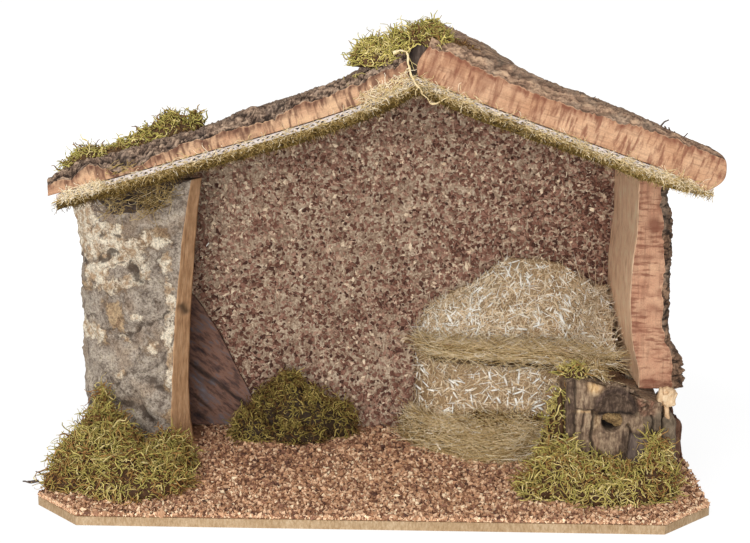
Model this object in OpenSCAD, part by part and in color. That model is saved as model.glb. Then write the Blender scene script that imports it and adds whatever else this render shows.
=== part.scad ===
// Nativity stable of cork bark on a flat base, with a bent corrugated roof sheet.
// Millimetres, +Z up, origin at the middle of the underside of the base board, front at -Y.

/* [Base] */
// Width of the base board
base_w = 450; // [440:1:500]
// Depth of the base board
base_d = 200; // [190:1:230]
// Thickness of the base board
base_t = 6; // [4:0.5:12]
// Leg of the two front corner cuts
base_chamfer = 35; // [10:1:50]
// Thickness of the strewn cork grit on the floor
floor_grit_t = 3; // [2:0.5:5]

/* [Back wall] */
// Thickness of the back board
back_board_t = 4; // [3:0.5:6]
// Thickness of the cork grit glued on the back board
wall_grit_t = 3; // [2:0.5:4]
// How far the back board stops short of the left edge of the base
back_left_inset = 7; // [4:1:12]
// How far the back board stops short of the right edge of the base
back_right_inset = 13; // [10:1:20]

/* [Roof line] */
// Place of the ridge, to the right of the middle
ridge_x = 30; // [20:1:40]
// Height of the ridge above the floor, to the underside of the cork
ridge_h = 279.5; // [260:0.5:320]
// Height of the left eave above the floor, to the underside of the cork
left_eave_h = 204; // [195:0.5:215]
// Height of the right eave above the floor, to the underside of the cork
right_eave_h = 211; // [200:0.5:225]
// How far the left eave stops short of the left edge of the base
left_eave_inset = 23; // [15:1:30]
// How far the right eave stops short of the right edge of the base
right_eave_inset = 9; // [4:1:14]
// Extra rise of the left roof where it bends up to the ridge
left_lift = 10.3; // [4:0.1:14]
// Extra rise of the right roof where it bends up to the ridge
right_lift = 3; // [1:0.1:6]
// How far the roof comes forward of the middle of the base
roof_reach = 70; // [60:1:80]

/* [Roof sheet and mats] */
// Height of the corrugated sheet, over both liners
sheet_t = 3.4; // [2.8:0.1:4.5]
// Thickness of each liner of the corrugated sheet
liner_t = 0.5; // [0.4:0.05:0.7]
// Thickness of the fluted paper, measured along the slope
flute_t = 0.7; // [0.5:0.05:0.9]
// Distance from one flute to the next
flute_pitch = 6.3; // [5.8:0.1:8]
// Thickness of the fibre mats under the roof
mat_t = 8; // [5:0.5:9]
// How far the mats stand back from the front of the cork
mat_setback = 1; // [0.5:0.5:4]

/* [Roof cork] */
// Thickness of the left cork slab at the front beside the ridge
left_cork_t = 17; // [14:0.5:20]
// Thickness of the left cork slab at the back beside the ridge
left_cork_back_t = 16.5; // [12:0.5:20]
// Height of the sawn face of the left slab beside the ridge
left_saw_h = 12.5; // [9:0.5:13]
// Thickness of the right cork slab at the front
right_cork_t = 27; // [22:0.5:30]
// How much thicker the right slab is at the back of the ridge
right_cork_swell = 6; // [0:0.5:8]
// Height of the sawn face of the right slab beside the ridge
right_saw_h = 21; // [14:0.5:21]
// How far behind the sawn face the bark reaches its full height
bark_run = 5.5; // [4:0.5:9]
// How far the left slab overhangs the left eave
left_cork_over = 5; // [2:0.5:10]
// How far the right slab overhangs the right eave
right_cork_over = 8; // [4:0.5:12]
// Gap between the two slabs at the ridge
ridge_gap = 5; // [3:0.5:8]
// Slant of the left end of the right slab, from its bottom to its top
right_cork_slant = 8; // [0:0.5:12]
// Height of the ridges on the bark side of the slabs
roof_relief = 0.9; // [0:0.1:1.2]

/* [Left wall bark] */
// How far the bark reaches in from its outer edge at the bottom
left_bark_reach = 76; // [66:1:84]
// How far the cut end leans in between the bottom and the top
left_bark_lean = 19; // [0:1:22]
// Distance of the round of the bark in front of the back wall
left_bark_round = 75; // [65:1:80]
// Thickness of the bark at the bottom
left_bark_foot_t = 25; // [16:0.5:28]
// Thickness of the bark at the top
left_bark_head_t = 9; // [6:0.5:14]
// Depth of the notch in the top edge of the bark
left_bark_notch = 24; // [0:1:30]
// Height of the growth ridges on the bark
left_bark_relief = 1.2; // [0:0.1:1.6]

/* [Corner bark] */
// Width of the dark bark in the back corner at the floor
corner_w = 92; // [70:1:96]
// Height of the dark bark in the back corner
corner_h = 113; // [80:1:125]
// Thickness of the dark bark
corner_t = 5.6; // [3:0.2:6]

/* [Right wall cork] */
// Distance of the inner face of the cork from the right edge of the base
right_cork_inset = 46; // [42:1:50]
// Thickness of the cork at the top
right_wall_t = 24; // [18:0.5:27]
// How much further the outer face stands out at the bottom
right_wall_flare = 11; // [4:0.5:13]
// Distance of the sawn front face of the cork in front of the middle
right_wall_reach = 14; // [4:1:24]
// Height of the lower end of the cork above the floor
right_wall_foot_h = 63; // [55:0.5:66]

/* [Stump] */
// Width of the stump
stump_w = 64; // [54:1:68]
// Height of the left post of the stump above the floor
stump_h = 75; // [70:0.5:85]
// Distance of the front of the stump in front of the middle
stump_reach = 40; // [34:1:44]
// Depth of the stump, from front to back
stump_d = 52; // [46:1:58]
// Diameter of the hollow knot
knot_dia = 23; // [16:0.5:26]
// Depth of the hollow knot
knot_depth = 16; // [8:0.5:22]
// Height of the middle of the hollow knot above the floor
knot_h = 49; // [40:0.5:50]
// Height of the tongue of wood across the hollow knot
tongue_h = 9; // [5:0.5:12]

/* [Bark pieces beside the stump] */
// Thickness of the grey bark piece
grey_bark_t = 12; // [8:0.5:14]
// Height of the grey bark piece
grey_bark_h = 47; // [36:0.5:50]
// Thickness of the low bark strip on the right side
side_bark_t = 9; // [6:0.5:10]
// Height of the low bark strip on the right side
side_bark_h = 32; // [20:0.5:40]
// Length of the low bark strip on the right side
side_bark_l = 105; // [60:1:112]
// Width of the dark root piece in front of the stump
root_piece_w = 17; // [12:0.5:24]
// Height of the dark root piece
root_piece_h = 40; // [24:0.5:44]
// Thickness of the dark root piece
root_piece_t = 8; // [5:0.5:10]
// Length of the pale wood chip
chip_l = 17; // [12:0.5:20]
// Diameter of the pale wood chip
chip_dia = 11; // [8:0.5:12]

/* [Hay] */
// Distance of the left end of the hay from the ridge
hay_left = 2; // [0:1:8]
// Height of the lower hay block above the floor
hay_block_h = 67; // [55:0.5:72]
// Depth of the lower hay block at its right end, forward of the back wall
hay_block_d = 67; // [58:0.5:70]
// Thickness of the hay ledge on the lower block
hay_ledge_t = 8; // [5:0.5:10]
// Height of the hay mound above the ledge
hay_mound_h = 59; // [50:0.5:62]
// Depth of the hay mound, forward of the back wall
hay_mound_d = 23; // [18:0.5:30]
// How much deeper the hay mound is beside the right wall
hay_mound_swell = 38; // [20:0.5:40]
// Height of the loose hay on the floor, where it meets the block
hay_bed_h = 25; // [16:0.5:30]
// How far the loose hay spreads in front of the block
hay_bed_d = 21; // [14:0.5:24]
// How much further the loose hay spreads near the middle of the block
hay_bed_swell = 15; // [0:0.5:16]

/* [Moss] */
// Width of the moss at the front left
left_moss_w = 112; // [90:1:116]
// Depth of the moss at the front left
left_moss_d = 90; // [70:1:94]
// Height of the moss at the front left
left_moss_h = 46; // [30:0.5:56]
// Width of the moss at the front right
right_moss_w = 110; // [90:1:112]
// Depth of the moss at the front right
right_moss_d = 28; // [20:1:34]
// Height of the moss at the front right
right_moss_h = 34; // [24:0.5:40]
// Width of the moss at the back
back_moss_w = 108; // [80:1:112]
// Depth of the moss at the back
back_moss_d = 38; // [24:1:40]
// Height of the moss at the back
back_moss_h = 49; // [30:0.5:56]
// Thickness of the moss on the left roof
roof_moss_t = 13; // [8:0.5:18]
// Thickness of the moss on the ridge
ridge_moss_t = 19; // [12:0.5:24]
// Height of the moss on the side of the stump
side_moss_h = 70; // [40:0.5:74]
// Height of the moss on top of the stump
top_moss_h = 9; // [5:0.5:12]

/* [Rootlet and pins] */
// Diameter of the pale rootlet that hangs at the ridge
rootlet_dia = 1.8; // [1.2:0.1:2.6]
// Diameter of the shank of the panel pins
pin_dia = 1.6; // [1.2:0.1:2]
// Diameter of the head of the panel pins
pin_head_dia = 3.6; // [3:0.1:5]
// Thickness of the head of the panel pins
pin_head_t = 0.8; // [0.5:0.1:1.2]
// Length of the panel pins
pin_l = 28; // [20:1:34]

/* [Fits] */
// Clearance between a piece and the rigid piece that it is glued to
seat = 0.2; // [0.1:0.05:0.4]
// Clearance under the cork slabs and the moss, whose faces are uneven
glue_gap = 0.7; // [0.5:0.05:0.9]
// Clearance round the pins
pin_clear = 0.1; // [0.05:0.05:0.2]

/* [Hidden] */

// Overlap that carries a cutter past the face that it opens
cut = 1;
// Edges of the base and of the walls
left_edge = -base_w / 2;
right_edge = base_w / 2;
front_y = -base_d / 2;
back_y = base_d / 2;
floor_z = base_t + floor_grit_t;
wall_y = back_y - back_board_t - wall_grit_t;

// Roof line: straight from each eave, with a lift that bends it up to the ridge
left_eave_x = left_edge + left_eave_inset;
right_eave_x = right_edge - right_eave_inset;
ridge_z = floor_z + ridge_h;
left_eave_z = floor_z + left_eave_h;
right_eave_z = floor_z + right_eave_h;
roof_front = -roof_reach;
bend = 8;

// Grid counts of the uneven surfaces
slab_cols = 34;
slab_rows = 11;

// Share of the way from one value to another, held between 0 and 1
function part_of(a, b, v) = max(0, min(1, (v - a) / (b - a)));
// The same share with a soft start and end
function ease(a, b, v) = let (t = part_of(a, b, v)) t * t * (3 - 2 * t);
// Uneven height from -1 to 1, that repeats nowhere near
function rough(a, b) = 0.5 * sin(a * 61 + b * 23) + 0.3 * sin(a * 113 - b * 71 + 40)
                     + 0.2 * sin(a * 197 + b * 149 + 90);

// Underside of the cork at a place across the roof
function left_line(x) = let (u = (x - left_eave_x) / (ridge_x - left_eave_x))
    left_eave_z + (ridge_z - left_eave_z - left_lift) * u + left_lift * pow(max(0, u), bend);
function right_line(x) = let (u = (right_eave_x - x) / (right_eave_x - ridge_x))
    right_eave_z + (ridge_z - right_eave_z - right_lift) * u + right_lift * pow(max(0, u), bend);
function cork_line(x) = x < ridge_x ? left_line(x) : right_line(x);
function sheet_line(x) = cork_line(x) - glue_gap;
function mat_line(x) = sheet_line(x) - sheet_t - seat;
function under_mat(x) = mat_line(x) - mat_t;
// Top of the back wall, under the sheet
function gable_line(x) = sheet_line(x) - sheet_t - seat;

// Solid between two grids of points of the same size, the first one on the side that faces out
// when its rows run up and its columns run to the right
module grid_solid(a, b) {
    rows = len(a);
    cols = len(a[0]);
    size = rows * cols;
    points = concat([for (r = a) each r], [for (r = b) each r]);
    function at(r, c) = r * cols + c;
    faces = concat(
        [for (r = [0:rows - 2]) for (c = [0:cols - 2])
            each [[at(r, c), at(r + 1, c), at(r + 1, c + 1)],
                  [at(r, c), at(r + 1, c + 1), at(r, c + 1)]]],
        [for (r = [0:rows - 2]) for (c = [0:cols - 2])
            each [[size + at(r, c), size + at(r + 1, c + 1), size + at(r + 1, c)],
                  [size + at(r, c), size + at(r, c + 1), size + at(r + 1, c + 1)]]],
        [for (c = [0:cols - 2])
            each [[at(0, c), at(0, c + 1), size + at(0, c + 1)],
                  [at(0, c), size + at(0, c + 1), size + at(0, c)]]],
        [for (c = [0:cols - 2]) let (r = rows - 1)
            each [[at(r, c), size + at(r, c), size + at(r, c + 1)],
                  [at(r, c), size + at(r, c + 1), at(r, c + 1)]]],
        [for (r = [0:rows - 2])
            each [[at(r, 0), size + at(r, 0), size + at(r + 1, 0)],
                  [at(r, 0), size + at(r + 1, 0), at(r + 1, 0)]]],
        [for (r = [0:rows - 2]) let (c = cols - 1)
            each [[at(r, c), at(r + 1, c), size + at(r + 1, c)],
                  [at(r, c), size + at(r + 1, c), size + at(r, c)]]]);
    polyhedron(points, faces, convexity = 6);
}

// Solid through a stack of rings with the same number of points, closed at both ends
module ring_solid(rings) {
    count = len(rings[0]);
    last = len(rings) - 1;
    faces = concat(
        [for (k = [0:last - 1]) for (i = [0:count - 1]) let (j = (i + 1) % count)
            each [[k * count + i, (k + 1) * count + i, (k + 1) * count + j],
                  [k * count + i, (k + 1) * count + j, k * count + j]]],
        [[for (i = [0:count - 1]) i]],
        [[for (i = [count - 1:-1:0]) last * count + i]]);
    polyhedron([for (ring = rings) each ring], faces, convexity = 6);
}

// Mound on a flat ground: rings that draw in towards the top, with a lobed outline
mound_rings = 6;
mound_sides = 24;
function mound_ring(x, y, z, half_w, half_d, h, lobes, k) =
    let (f = k / mound_rings, s = pow(cos(78 * f), 0.8), level = h * sin(78 * f) / sin(78))
    [for (i = [0:mound_sides - 1])
        let (a = -360 * i / mound_sides, m = 1 - lobes * (0.5 + 0.5 * rough(a / 40, f * 2)))
        [x + half_w * s * m * cos(a), y + half_d * s * m * sin(a), z + level]];
module mound(x, y, z, half_w, half_d, h, lobes = 0.12) {
    ring_solid([for (k = [0:mound_rings]) mound_ring(x, y, z, half_w, half_d, h, lobes, k)]);
}

// Places of the pins: two in the left bark, two in the stump
pin_sweeps = [28, 52];
pin_stump_steps = [0.3, 0.75];
function pin_places() = concat(
    [for (a = pin_sweeps) let (o = bark_at(a, 0, 0), i = bark_at(a, left_bark_foot_t, 0))
        [(o[0] + i[0]) / 2, (o[1] + i[1]) / 2]],
    [for (s = pin_stump_steps)
        [stump_left + s * stump_w, stump_front + stump_d / 2]]);

// Round holes at the pins, from z0 up to z1
module pin_holes(dia, z0, z1) {
    for (p = pin_places())
        translate([p[0], p[1], z0])
            cylinder(d = dia, h = z1 - z0, $fn = 24);
}

// Outline of the base, with its two front corners cut off
module base_outline(back) {
    polygon([[left_edge, front_y + base_chamfer], [left_edge + base_chamfer, front_y],
             [right_edge - base_chamfer, front_y], [right_edge, front_y + base_chamfer],
             [right_edge, back], [left_edge, back]]);
}

module base_board() {
    color("burlywood")
        difference() {
            linear_extrude(base_t) base_outline(back_y);
            pin_holes(pin_dia + 2 * pin_clear, -cut, base_t + cut);
            pin_holes(pin_head_dia + 2 * pin_clear, -cut, pin_head_t + pin_clear);
        }
}

module floor_grit() {
    color("peru")
        difference() {
            translate([0, 0, base_t])
                linear_extrude(floor_grit_t) base_outline(wall_y - seat);
            pin_holes(pin_dia + 2 * pin_clear, base_t - cut, floor_z + cut);
        }
}

// Gable outline of the back wall, from the base up to the roof sheet
gable_left = left_edge + back_left_inset;
gable_right = right_edge - back_right_inset;
gable_steps = 30;
module gable_outline() {
    polygon(concat([[gable_right, base_t + seat], [gable_left, base_t + seat]],
        [for (i = [0:gable_steps])
            let (x = gable_left + (ridge_x - gable_left) * i / gable_steps) [x, gable_line(x)]],
        [for (i = [1:gable_steps])
            let (x = ridge_x + (gable_right - ridge_x) * i / gable_steps) [x, gable_line(x)]]));
}

module back_board() {
    color("tan")
        translate([0, back_y, 0]) rotate([90, 0, 0])
            linear_extrude(back_board_t - seat) gable_outline();
}

module wall_grit() {
    color("rosybrown")
        translate([0, back_y - back_board_t, 0]) rotate([90, 0, 0])
            linear_extrude(wall_grit_t) gable_outline();
}

// Corrugated sheet, bent along its flutes: one outline with a hole for each flute cell
sheet_left = left_eave_x;
sheet_right = right_eave_x;
sheet_steps = 60;
cell_mid = (flute_pitch - 2 * flute_t) / 2;
cell_taper = cell_mid * 0.78;
cell_reach = flute_t + (cell_mid + cell_taper) / 2;
left_cells = floor((ridge_x - sheet_left - cell_reach) / flute_pitch);
right_cells = floor((sheet_right - ridge_x - cell_reach) / flute_pitch);
function sheet_point(x, up) = [x, sheet_line(x) - sheet_t + up];
// Cell with its wide side on the lower liner (up = 0) or on the upper liner (up = 1)
function flute_cell(x, up) =
    let (low = liner_t + (up == 1 ? flute_t : 0),
         high = sheet_t - liner_t - (up == 1 ? 0 : flute_t),
         wide = (cell_mid + cell_taper) / 2,
         narrow = (cell_mid - cell_taper) / 2,
         bottom = up == 1 ? narrow : wide,
         top = up == 1 ? wide : narrow)
    [sheet_point(x - bottom, low), sheet_point(x + bottom, low),
     sheet_point(x + top, high), sheet_point(x - top, high)];
function sheet_edge() = concat([for (i = [0:sheet_steps])
    let (x = sheet_left + (ridge_x - sheet_left) * i / sheet_steps) x],
    [for (i = [1:sheet_steps]) ridge_x + (sheet_right - ridge_x) * i / sheet_steps]);
module roof_sheet() {
    xs = sheet_edge();
    rim = concat([for (x = xs) sheet_point(x, 0)],
                 [for (i = [len(xs) - 1:-1:0]) sheet_point(xs[i], sheet_t)]);
    cells = [for (i = [-2 * left_cells:2 * right_cells])
        flute_cell(ridge_x + i * flute_pitch / 2, i % 2 == 0 ? 1 : 0)];
    rim_count = len(rim);
    color("lightgrey")
        translate([0, back_y, 0]) rotate([90, 0, 0])
            linear_extrude(back_y - roof_front - mat_setback)
                polygon(concat(rim, [for (c = cells) each c]),
                    concat([[for (i = [0:rim_count - 1]) i]],
                        [for (k = [0:len(cells) - 1]) [for (i = [0:3]) rim_count + 4 * k + i]]));
}

// Fibre mat between two places across the roof
mat_steps = 24;
module mat(x0, x1) {
    xs = [for (i = [0:mat_steps]) x0 + (x1 - x0) * i / mat_steps];
    translate([0, wall_y - seat, 0]) rotate([90, 0, 0])
        linear_extrude(wall_y - seat - roof_front - mat_setback)
            polygon(concat([for (x = xs) [x, under_mat(x)]],
                [for (i = [mat_steps:-1:0]) [xs[i], mat_line(xs[i]) - seat]]));
}
module left_roof_mat() { color("darkkhaki") mat(left_eave_x + seat, ridge_x - seat); }
module right_roof_mat() { color("darkkhaki") mat(ridge_x + seat, right_eave_x - seat); }

// Left cork slab: sawn front, back and ends. Its bark starts at the top of the sawn face and climbs
// within a short run to the full thickness, which grows in steps towards the ridge.
left_slab_x0 = left_eave_x - left_cork_over;
left_slab_x1 = ridge_x - ridge_gap;
function left_slab_x(c) = left_slab_x0 + (left_slab_x1 - left_slab_x0) * c / slab_cols;
function slab_y(r) = r == 0 ? roof_front
    : roof_front + bark_run + (back_y - roof_front - bark_run) * (r - 1) / (slab_rows - 1);
function left_t(u, b) =
    let (front = left_cork_t * (0.65 + 0.175 * ease(0, 0.07, u) + 0.175 * ease(0.47, 0.565, u)),
         back = left_cork_back_t * (0.3 + 0.21 * ease(0, 0.25, u) + 0.22 * ease(0.38, 0.46, u)
                                    + 0.27 * ease(0.7, 0.85, u)))
    front + (back - front) * b;
function left_top(x, y) =
    let (u = (x - left_slab_x0) / (left_slab_x1 - left_slab_x0),
         b = (y - roof_front) / (back_y - roof_front))
    left_line(x) + left_t(u, b) + roof_relief * rough(x / 9, y / 14);
// Top of the sawn face: low beside the eave, broken away further down at one place
function left_saw(x) =
    let (u = (x - left_slab_x0) / (left_slab_x1 - left_slab_x0))
    left_line(x) + left_saw_h * (0.66 + 0.34 * ease(0.63, 0.69, u)
                                 - 0.46 * (ease(0.16, 0.19, u) - ease(0.27, 0.3, u)));
module left_roof_cork() {
    top = [for (r = [0:slab_rows]) [for (c = [0:slab_cols])
        let (x = left_slab_x(c), y = slab_y(r)) [x, y, r == 0 ? left_saw(x) : left_top(x, y)]]];
    bottom = [for (r = [0:slab_rows]) [for (c = [0:slab_cols])
        let (x = left_slab_x(c)) [x, slab_y(r), left_line(x)]]];
    color("sandybrown") grid_solid(top, bottom);
}

// Right cork slab: its left end is slanted and its right end is rounded off
right_slab_x0 = ridge_x + seat;
right_slab_x1 = right_eave_x + right_cork_over;
right_round = 9;
function right_slab_x(c) = right_slab_x0 + (right_slab_x1 - right_slab_x0) * c / slab_cols;
function right_t(u, b) =
    let (front = right_cork_t * (0.815 + 0.185 * ease(0, 0.155, u) - 0.093 * ease(0.26, 0.44, u)),
         back = (right_cork_t + right_cork_swell)
                * (1 - 0.3 * ease(0.19, 0.4, u) - 0.06 * ease(0.77, 1, u)))
    front + (back - front) * b;
function right_top(x, y) =
    let (u = (x - right_slab_x0) / (right_slab_x1 - right_slab_x0),
         b = (y - roof_front) / (back_y - roof_front))
    right_line(x) + right_t(u, b) + roof_relief * rough(x / 8 + 5, y / 15);
function right_saw(x) =
    let (u = (x - right_slab_x0) / (right_slab_x1 - right_slab_x0))
    right_line(x) + right_saw_h * (1.03 - 0.24 * ease(0.1, 0.35, u) + 0.14 * ease(0.6, 0.85, u));
// Inset of the ends of the right slab at a height from 0, its underside, to 1, its top
function right_end_in(v) = right_round * pow(abs(2 * v - 1.1), 3);
module right_roof_cork() {
    function slanted(x, v) = let (u = (x - right_slab_x0) / (right_slab_x1 - right_slab_x0))
        x + (1 - u) * right_cork_slant * v - ease(0.75, 1, u) * right_end_in(v);
    function top_at(x, r) = r == 0 ? right_saw(x) : right_top(x, slab_y(r));
    rings = [for (r = [0:slab_rows]) let (y = slab_y(r)) concat(
        [for (c = [0:slab_cols]) let (x = slanted(right_slab_x(c), 0)) [x, y, right_line(x)]],
        [for (v = [0.3, 0.6, 0.85]) let (x = slanted(right_slab_x1, v))
            [x, y, right_line(x) + v * (top_at(x, r) - right_line(x))]],
        [for (c = [slab_cols:-1:0]) let (x = slanted(right_slab_x(c), 1))
            [x, y, top_at(x, r)]])];
    color("lightsalmon") ring_solid(rings);
}

// Left wall bark: part of a thick curved shell, from the back wall round to its sawn end
bark_cols = 20;
bark_rows = 14;
bark_left = left_edge + 0.5;
bark_span = left_bark_reach / (1 - cos(65));
bark_x = bark_left + bark_span;
bark_top_span = acos(max(0.05, (bark_x - bark_left - left_bark_reach - left_bark_lean) / bark_span));
// Point of the shell at a sweep from the back wall, a depth into the bark and a raised outer face
function bark_at(a, depth, raised) =
    [bark_x - (bark_span - depth + raised) * cos(a),
     wall_y - seat - (left_bark_round - depth + raised) * sin(a)];
function bark_sweep(s, f) = s * (65 + (bark_top_span - 65) * f);
function bark_top(s) = let (x = bark_at(s * bark_top_span, left_bark_head_t / 2, 0)[0])
    under_mat(max(x, left_eave_x)) - seat
        - left_bark_notch * ease(0.42, 0.62, s) * (1 - 0.55 * ease(0.8, 0.97, s));
function bark_ridges(s, z) = left_bark_relief * rough(z / 17 + 3 * s, s * 9)
    * ease(0, 0.1, s) * (1 - ease(0.9, 1, s));
module left_wall_bark() {
    function bark_row(k, inner) = [for (i = [0:bark_cols])
        let (s = i / bark_cols, f = k / bark_rows,
             z0 = floor_z + seat,
             z = z0 + (bark_top(s) - z0) * f,
             t = left_bark_foot_t + (left_bark_head_t - left_bark_foot_t) * sin(90 * f),
             p = bark_at(bark_sweep(s, f), inner ? t : 0, inner ? 0 : bark_ridges(s, z)))
        [max(p[0], bark_left), p[1], z]];
    color("darkgrey")
        difference() {
            grid_solid([for (k = [0:bark_rows]) bark_row(k, false)],
                       [for (k = [0:bark_rows]) bark_row(k, true)]);
            pin_holes(pin_dia + 2 * pin_clear, floor_z - cut, pin_top);
        }
}

// Dark bark that leans in the back corner, low on the right and high on the left
corner_cols = 14;
corner_rows = 8;
corner_x0 = bark_x - bark_span + left_bark_foot_t + 9;
module corner_bark() {
    function edge_h(u) = corner_h * (1 - 0.82 * pow(part_of(0.42, 1, u), 1.25));
    function corner_point(c, r, front) =
        let (u = c / corner_cols, v = r / corner_rows,
             y = wall_y - seat,
             t = corner_t * (0.45 + 0.55 * pow(sin(180 * (0.06 + 0.88 * u)), 0.5)))
        [corner_x0 + corner_w * u, front ? y - t * (1 - 0.18 * (0.5 + 0.5 * rough(u * 4, v * 3))) : y,
         floor_z + seat + edge_h(u) * v];
    color("saddlebrown")
        grid_solid([for (r = [0:corner_rows]) [for (c = [0:corner_cols]) corner_point(c, r, true)]],
                   [for (r = [0:corner_rows]) [for (c = [0:corner_cols]) corner_point(c, r, false)]]);
}

// Right wall cork: sawn front, smooth belly inside, bark outside that flares at the foot
wall_cols = 7;
wall_rows = 16;
right_wall_x = right_edge - right_cork_inset;
right_wall_z = floor_z + right_wall_foot_h;
module right_wall_cork() {
    function cork_point(c, r, outer) =
        let (u = c / wall_cols, f = r / wall_rows,
             y = -right_wall_reach + (wall_y - seat + right_wall_reach) * u,
             h = f * (right_eave_z - right_wall_z),
             inner_x = right_wall_x - 3 * sin(180 * part_of(30, 110, h)) + 5 * (1 - ease(8, 34, h))
                 - 2 * u,
             outer_x = right_wall_x + right_wall_t + right_wall_flare * (1 - ease(14, 40, h))
                 - 4 * ease(118, 134, h) + 0.9 * rough(h / 11, u * 4),
             x = outer ? outer_x : inner_x)
        [x, y, right_wall_z + f * (under_mat(x) - seat - right_wall_z)];
    color("salmon")
        grid_solid([for (r = [0:wall_rows]) [for (c = [0:wall_cols]) cork_point(c, r, true)]],
                   [for (r = [0:wall_rows]) [for (c = [0:wall_cols]) cork_point(c, r, false)]]);
}

// Stump under the right wall cork: a block of bark with a left post, an arch and a hollow knot
stump_cols = 18;
stump_rows = 8;
stump_right = right_wall_x + 17;
stump_left = stump_right - stump_w;
stump_front = -stump_reach;
knot_x = stump_left + stump_w / 2;
knot_z = floor_z + knot_h;
pin_top = pin_l + pin_clear;
stump_head_relief = 0.4;
module stump_bark() {
    function head(x, y) = let (u = (x - stump_left) / stump_w,
                               low = floor_z + right_wall_foot_h - seat,
                               post = floor_z + stump_h + stump_head_relief * rough(u * 5, y / 30))
        low + (post - low) * (1 - ease(0.62, 0.76, u)) * (1 - 0.35 * ease(0.22, 0.3, u));
    function face(u, v) = 1.6 * rough(u * 7, v * 2) + 2.2 * pow(sin(180 * part_of(0.26, 0.74, u)), 2)
        - 2.4 * pow(sin(180 * part_of(0.22, 0.3, u)), 2);
    function stump_point(c, r, front) =
        let (u = c / stump_cols, v = r / stump_rows,
             side = u < 0.05 || u > 0.95 ? 3 : 0,
             x = stump_left + stump_w * u,
             y = front ? stump_front + 3 - face(u, v) + side : stump_front + stump_d - side,
             z0 = floor_z + seat)
        [x, y, z0 + (head(x, y) - z0) * v];
    color("dimgrey")
        difference() {
            grid_solid([for (r = [0:stump_rows]) [for (c = [0:stump_cols]) stump_point(c, r, true)]],
                       [for (r = [0:stump_rows]) [for (c = [0:stump_cols]) stump_point(c, r, false)]]);
            translate([knot_x, stump_front + knot_depth, knot_z]) rotate([90, 0, 0])
                cylinder(d = knot_dia, h = knot_depth + 10, $fn = 40);
            pin_holes(pin_dia + 2 * pin_clear, floor_z - cut, pin_top);
        }
}

// Tongue of wood that spans the hollow knot from side to side
module knot_tongue() {
    tongue_l = knot_depth - 5;
    color("darkgoldenrod")
        translate([knot_x, stump_front + knot_depth - seat, knot_z]) rotate([90, 0, 0])
            intersection() {
                cylinder(d = knot_dia - 2 * seat, h = tongue_l, $fn = 40);
                rotate([0, 0, -9]) translate([-knot_dia / 2, -tongue_h, -cut])
                    cube([knot_dia, tongue_h, tongue_l + 2 * cut]);
            }
}

// Upright piece of bark, thinner at its rim: a grid over its length and height
module bark_piece(x, y, z, size_x, size_y, h, slope, seed) {
    sides = 16;
    layers = 6;
    ring_solid([for (k = [0:layers]) let (f = k / layers) [for (i = [0:sides - 1])
        let (a = -360 * i / sides,
             m = 1 - 0.07 * (1 + rough(a / 50 + seed, f * 3)),
             p = pow(abs(cos(a)), 0.45) * sign(cos(a)),
             q = pow(abs(sin(a)), 0.45) * sign(sin(a)))
        [x + size_x / 2 * p * m, y + size_y / 2 * q * m, z + h * f * (1 + slope * q * f)]]]);
}
grey_bark_d = 38;
grey_bark_x = stump_right + grey_bark_t / 2 + seat;
module grey_bark() {
    color("grey")
        bark_piece(grey_bark_x, stump_front + grey_bark_d / 2 + 2, floor_z + seat, grey_bark_t,
            grey_bark_d, grey_bark_h, 0, 2);
}

side_bark_x = grey_bark_x + grey_bark_t / 2 + seat + side_bark_t / 2;
module side_bark() {
    color("sienna")
        bark_piece(side_bark_x, wall_y - seat - side_bark_l / 2, floor_z + seat, side_bark_t,
            side_bark_l, side_bark_h, -0.12, 7);
}

root_piece_x = knot_x + knot_dia / 2 + root_piece_w / 2 - 3;
module root_piece() {
    color("#3a302c")
        bark_piece(root_piece_x, stump_front - 2.6 - root_piece_t / 2, floor_z + seat, root_piece_w,
            root_piece_t, root_piece_h, 0, 11);
}

// Pale split chip that lies on top of the grey bark
module wood_chip() {
    chip_sides = 10;
    rest_z = floor_z + seat + grey_bark_h + seat;
    color("wheat")
        ring_solid([for (k = [0:5]) let (f = k / 5) [for (i = [0:chip_sides - 1])
            let (a = -360 * i / chip_sides, m = (0.72 + 0.28 * sin(180 * f)) * (i % 2 == 0 ? 1 : 0.86))
            [grey_bark_x + chip_dia / 2 * m * cos(a), stump_front + 14 + chip_dia / 2 * m * sin(a),
             rest_z + chip_l * f]]]);
}

// Hay: plan curve that starts on the back wall and rounds forward and to the right
hay_x0 = ridge_x + hay_left;
hay_x1 = right_wall_x - 7;
hay_cols = 18;
hay_layers = 6;
function hay_round(u) = pow(1 - pow(1 - min(1, u * 5), 2.6), 1 / 2.6);
function hay_front(u, deep) = wall_y - seat - deep * max(0.04, hay_round(u));
// Depth of the lower block: its front runs aslant, further forward to the right
function hay_depth(u) = hay_block_d * (0.515 + 0.485 * u);
function hay_x(u) = hay_x0 + (hay_x1 - hay_x0) * u;

module hay_block() {
    function front_point(c, r) = let (u = c / hay_cols, v = r / hay_layers)
        [hay_x(u), hay_front(u, hay_depth(u) - 2 + 2 * sin(180 * v)), floor_z + seat + hay_block_h * v];
    function back_point(c, r) = let (u = c / hay_cols, v = r / hay_layers)
        [hay_x(u), wall_y - seat, floor_z + seat + hay_block_h * v];
    color("#c8b088")
        grid_solid([for (r = [0:hay_layers]) [for (c = [0:hay_cols]) front_point(c, r)]],
                   [for (r = [0:hay_layers]) [for (c = [0:hay_cols]) back_point(c, r)]]);
}

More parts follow.
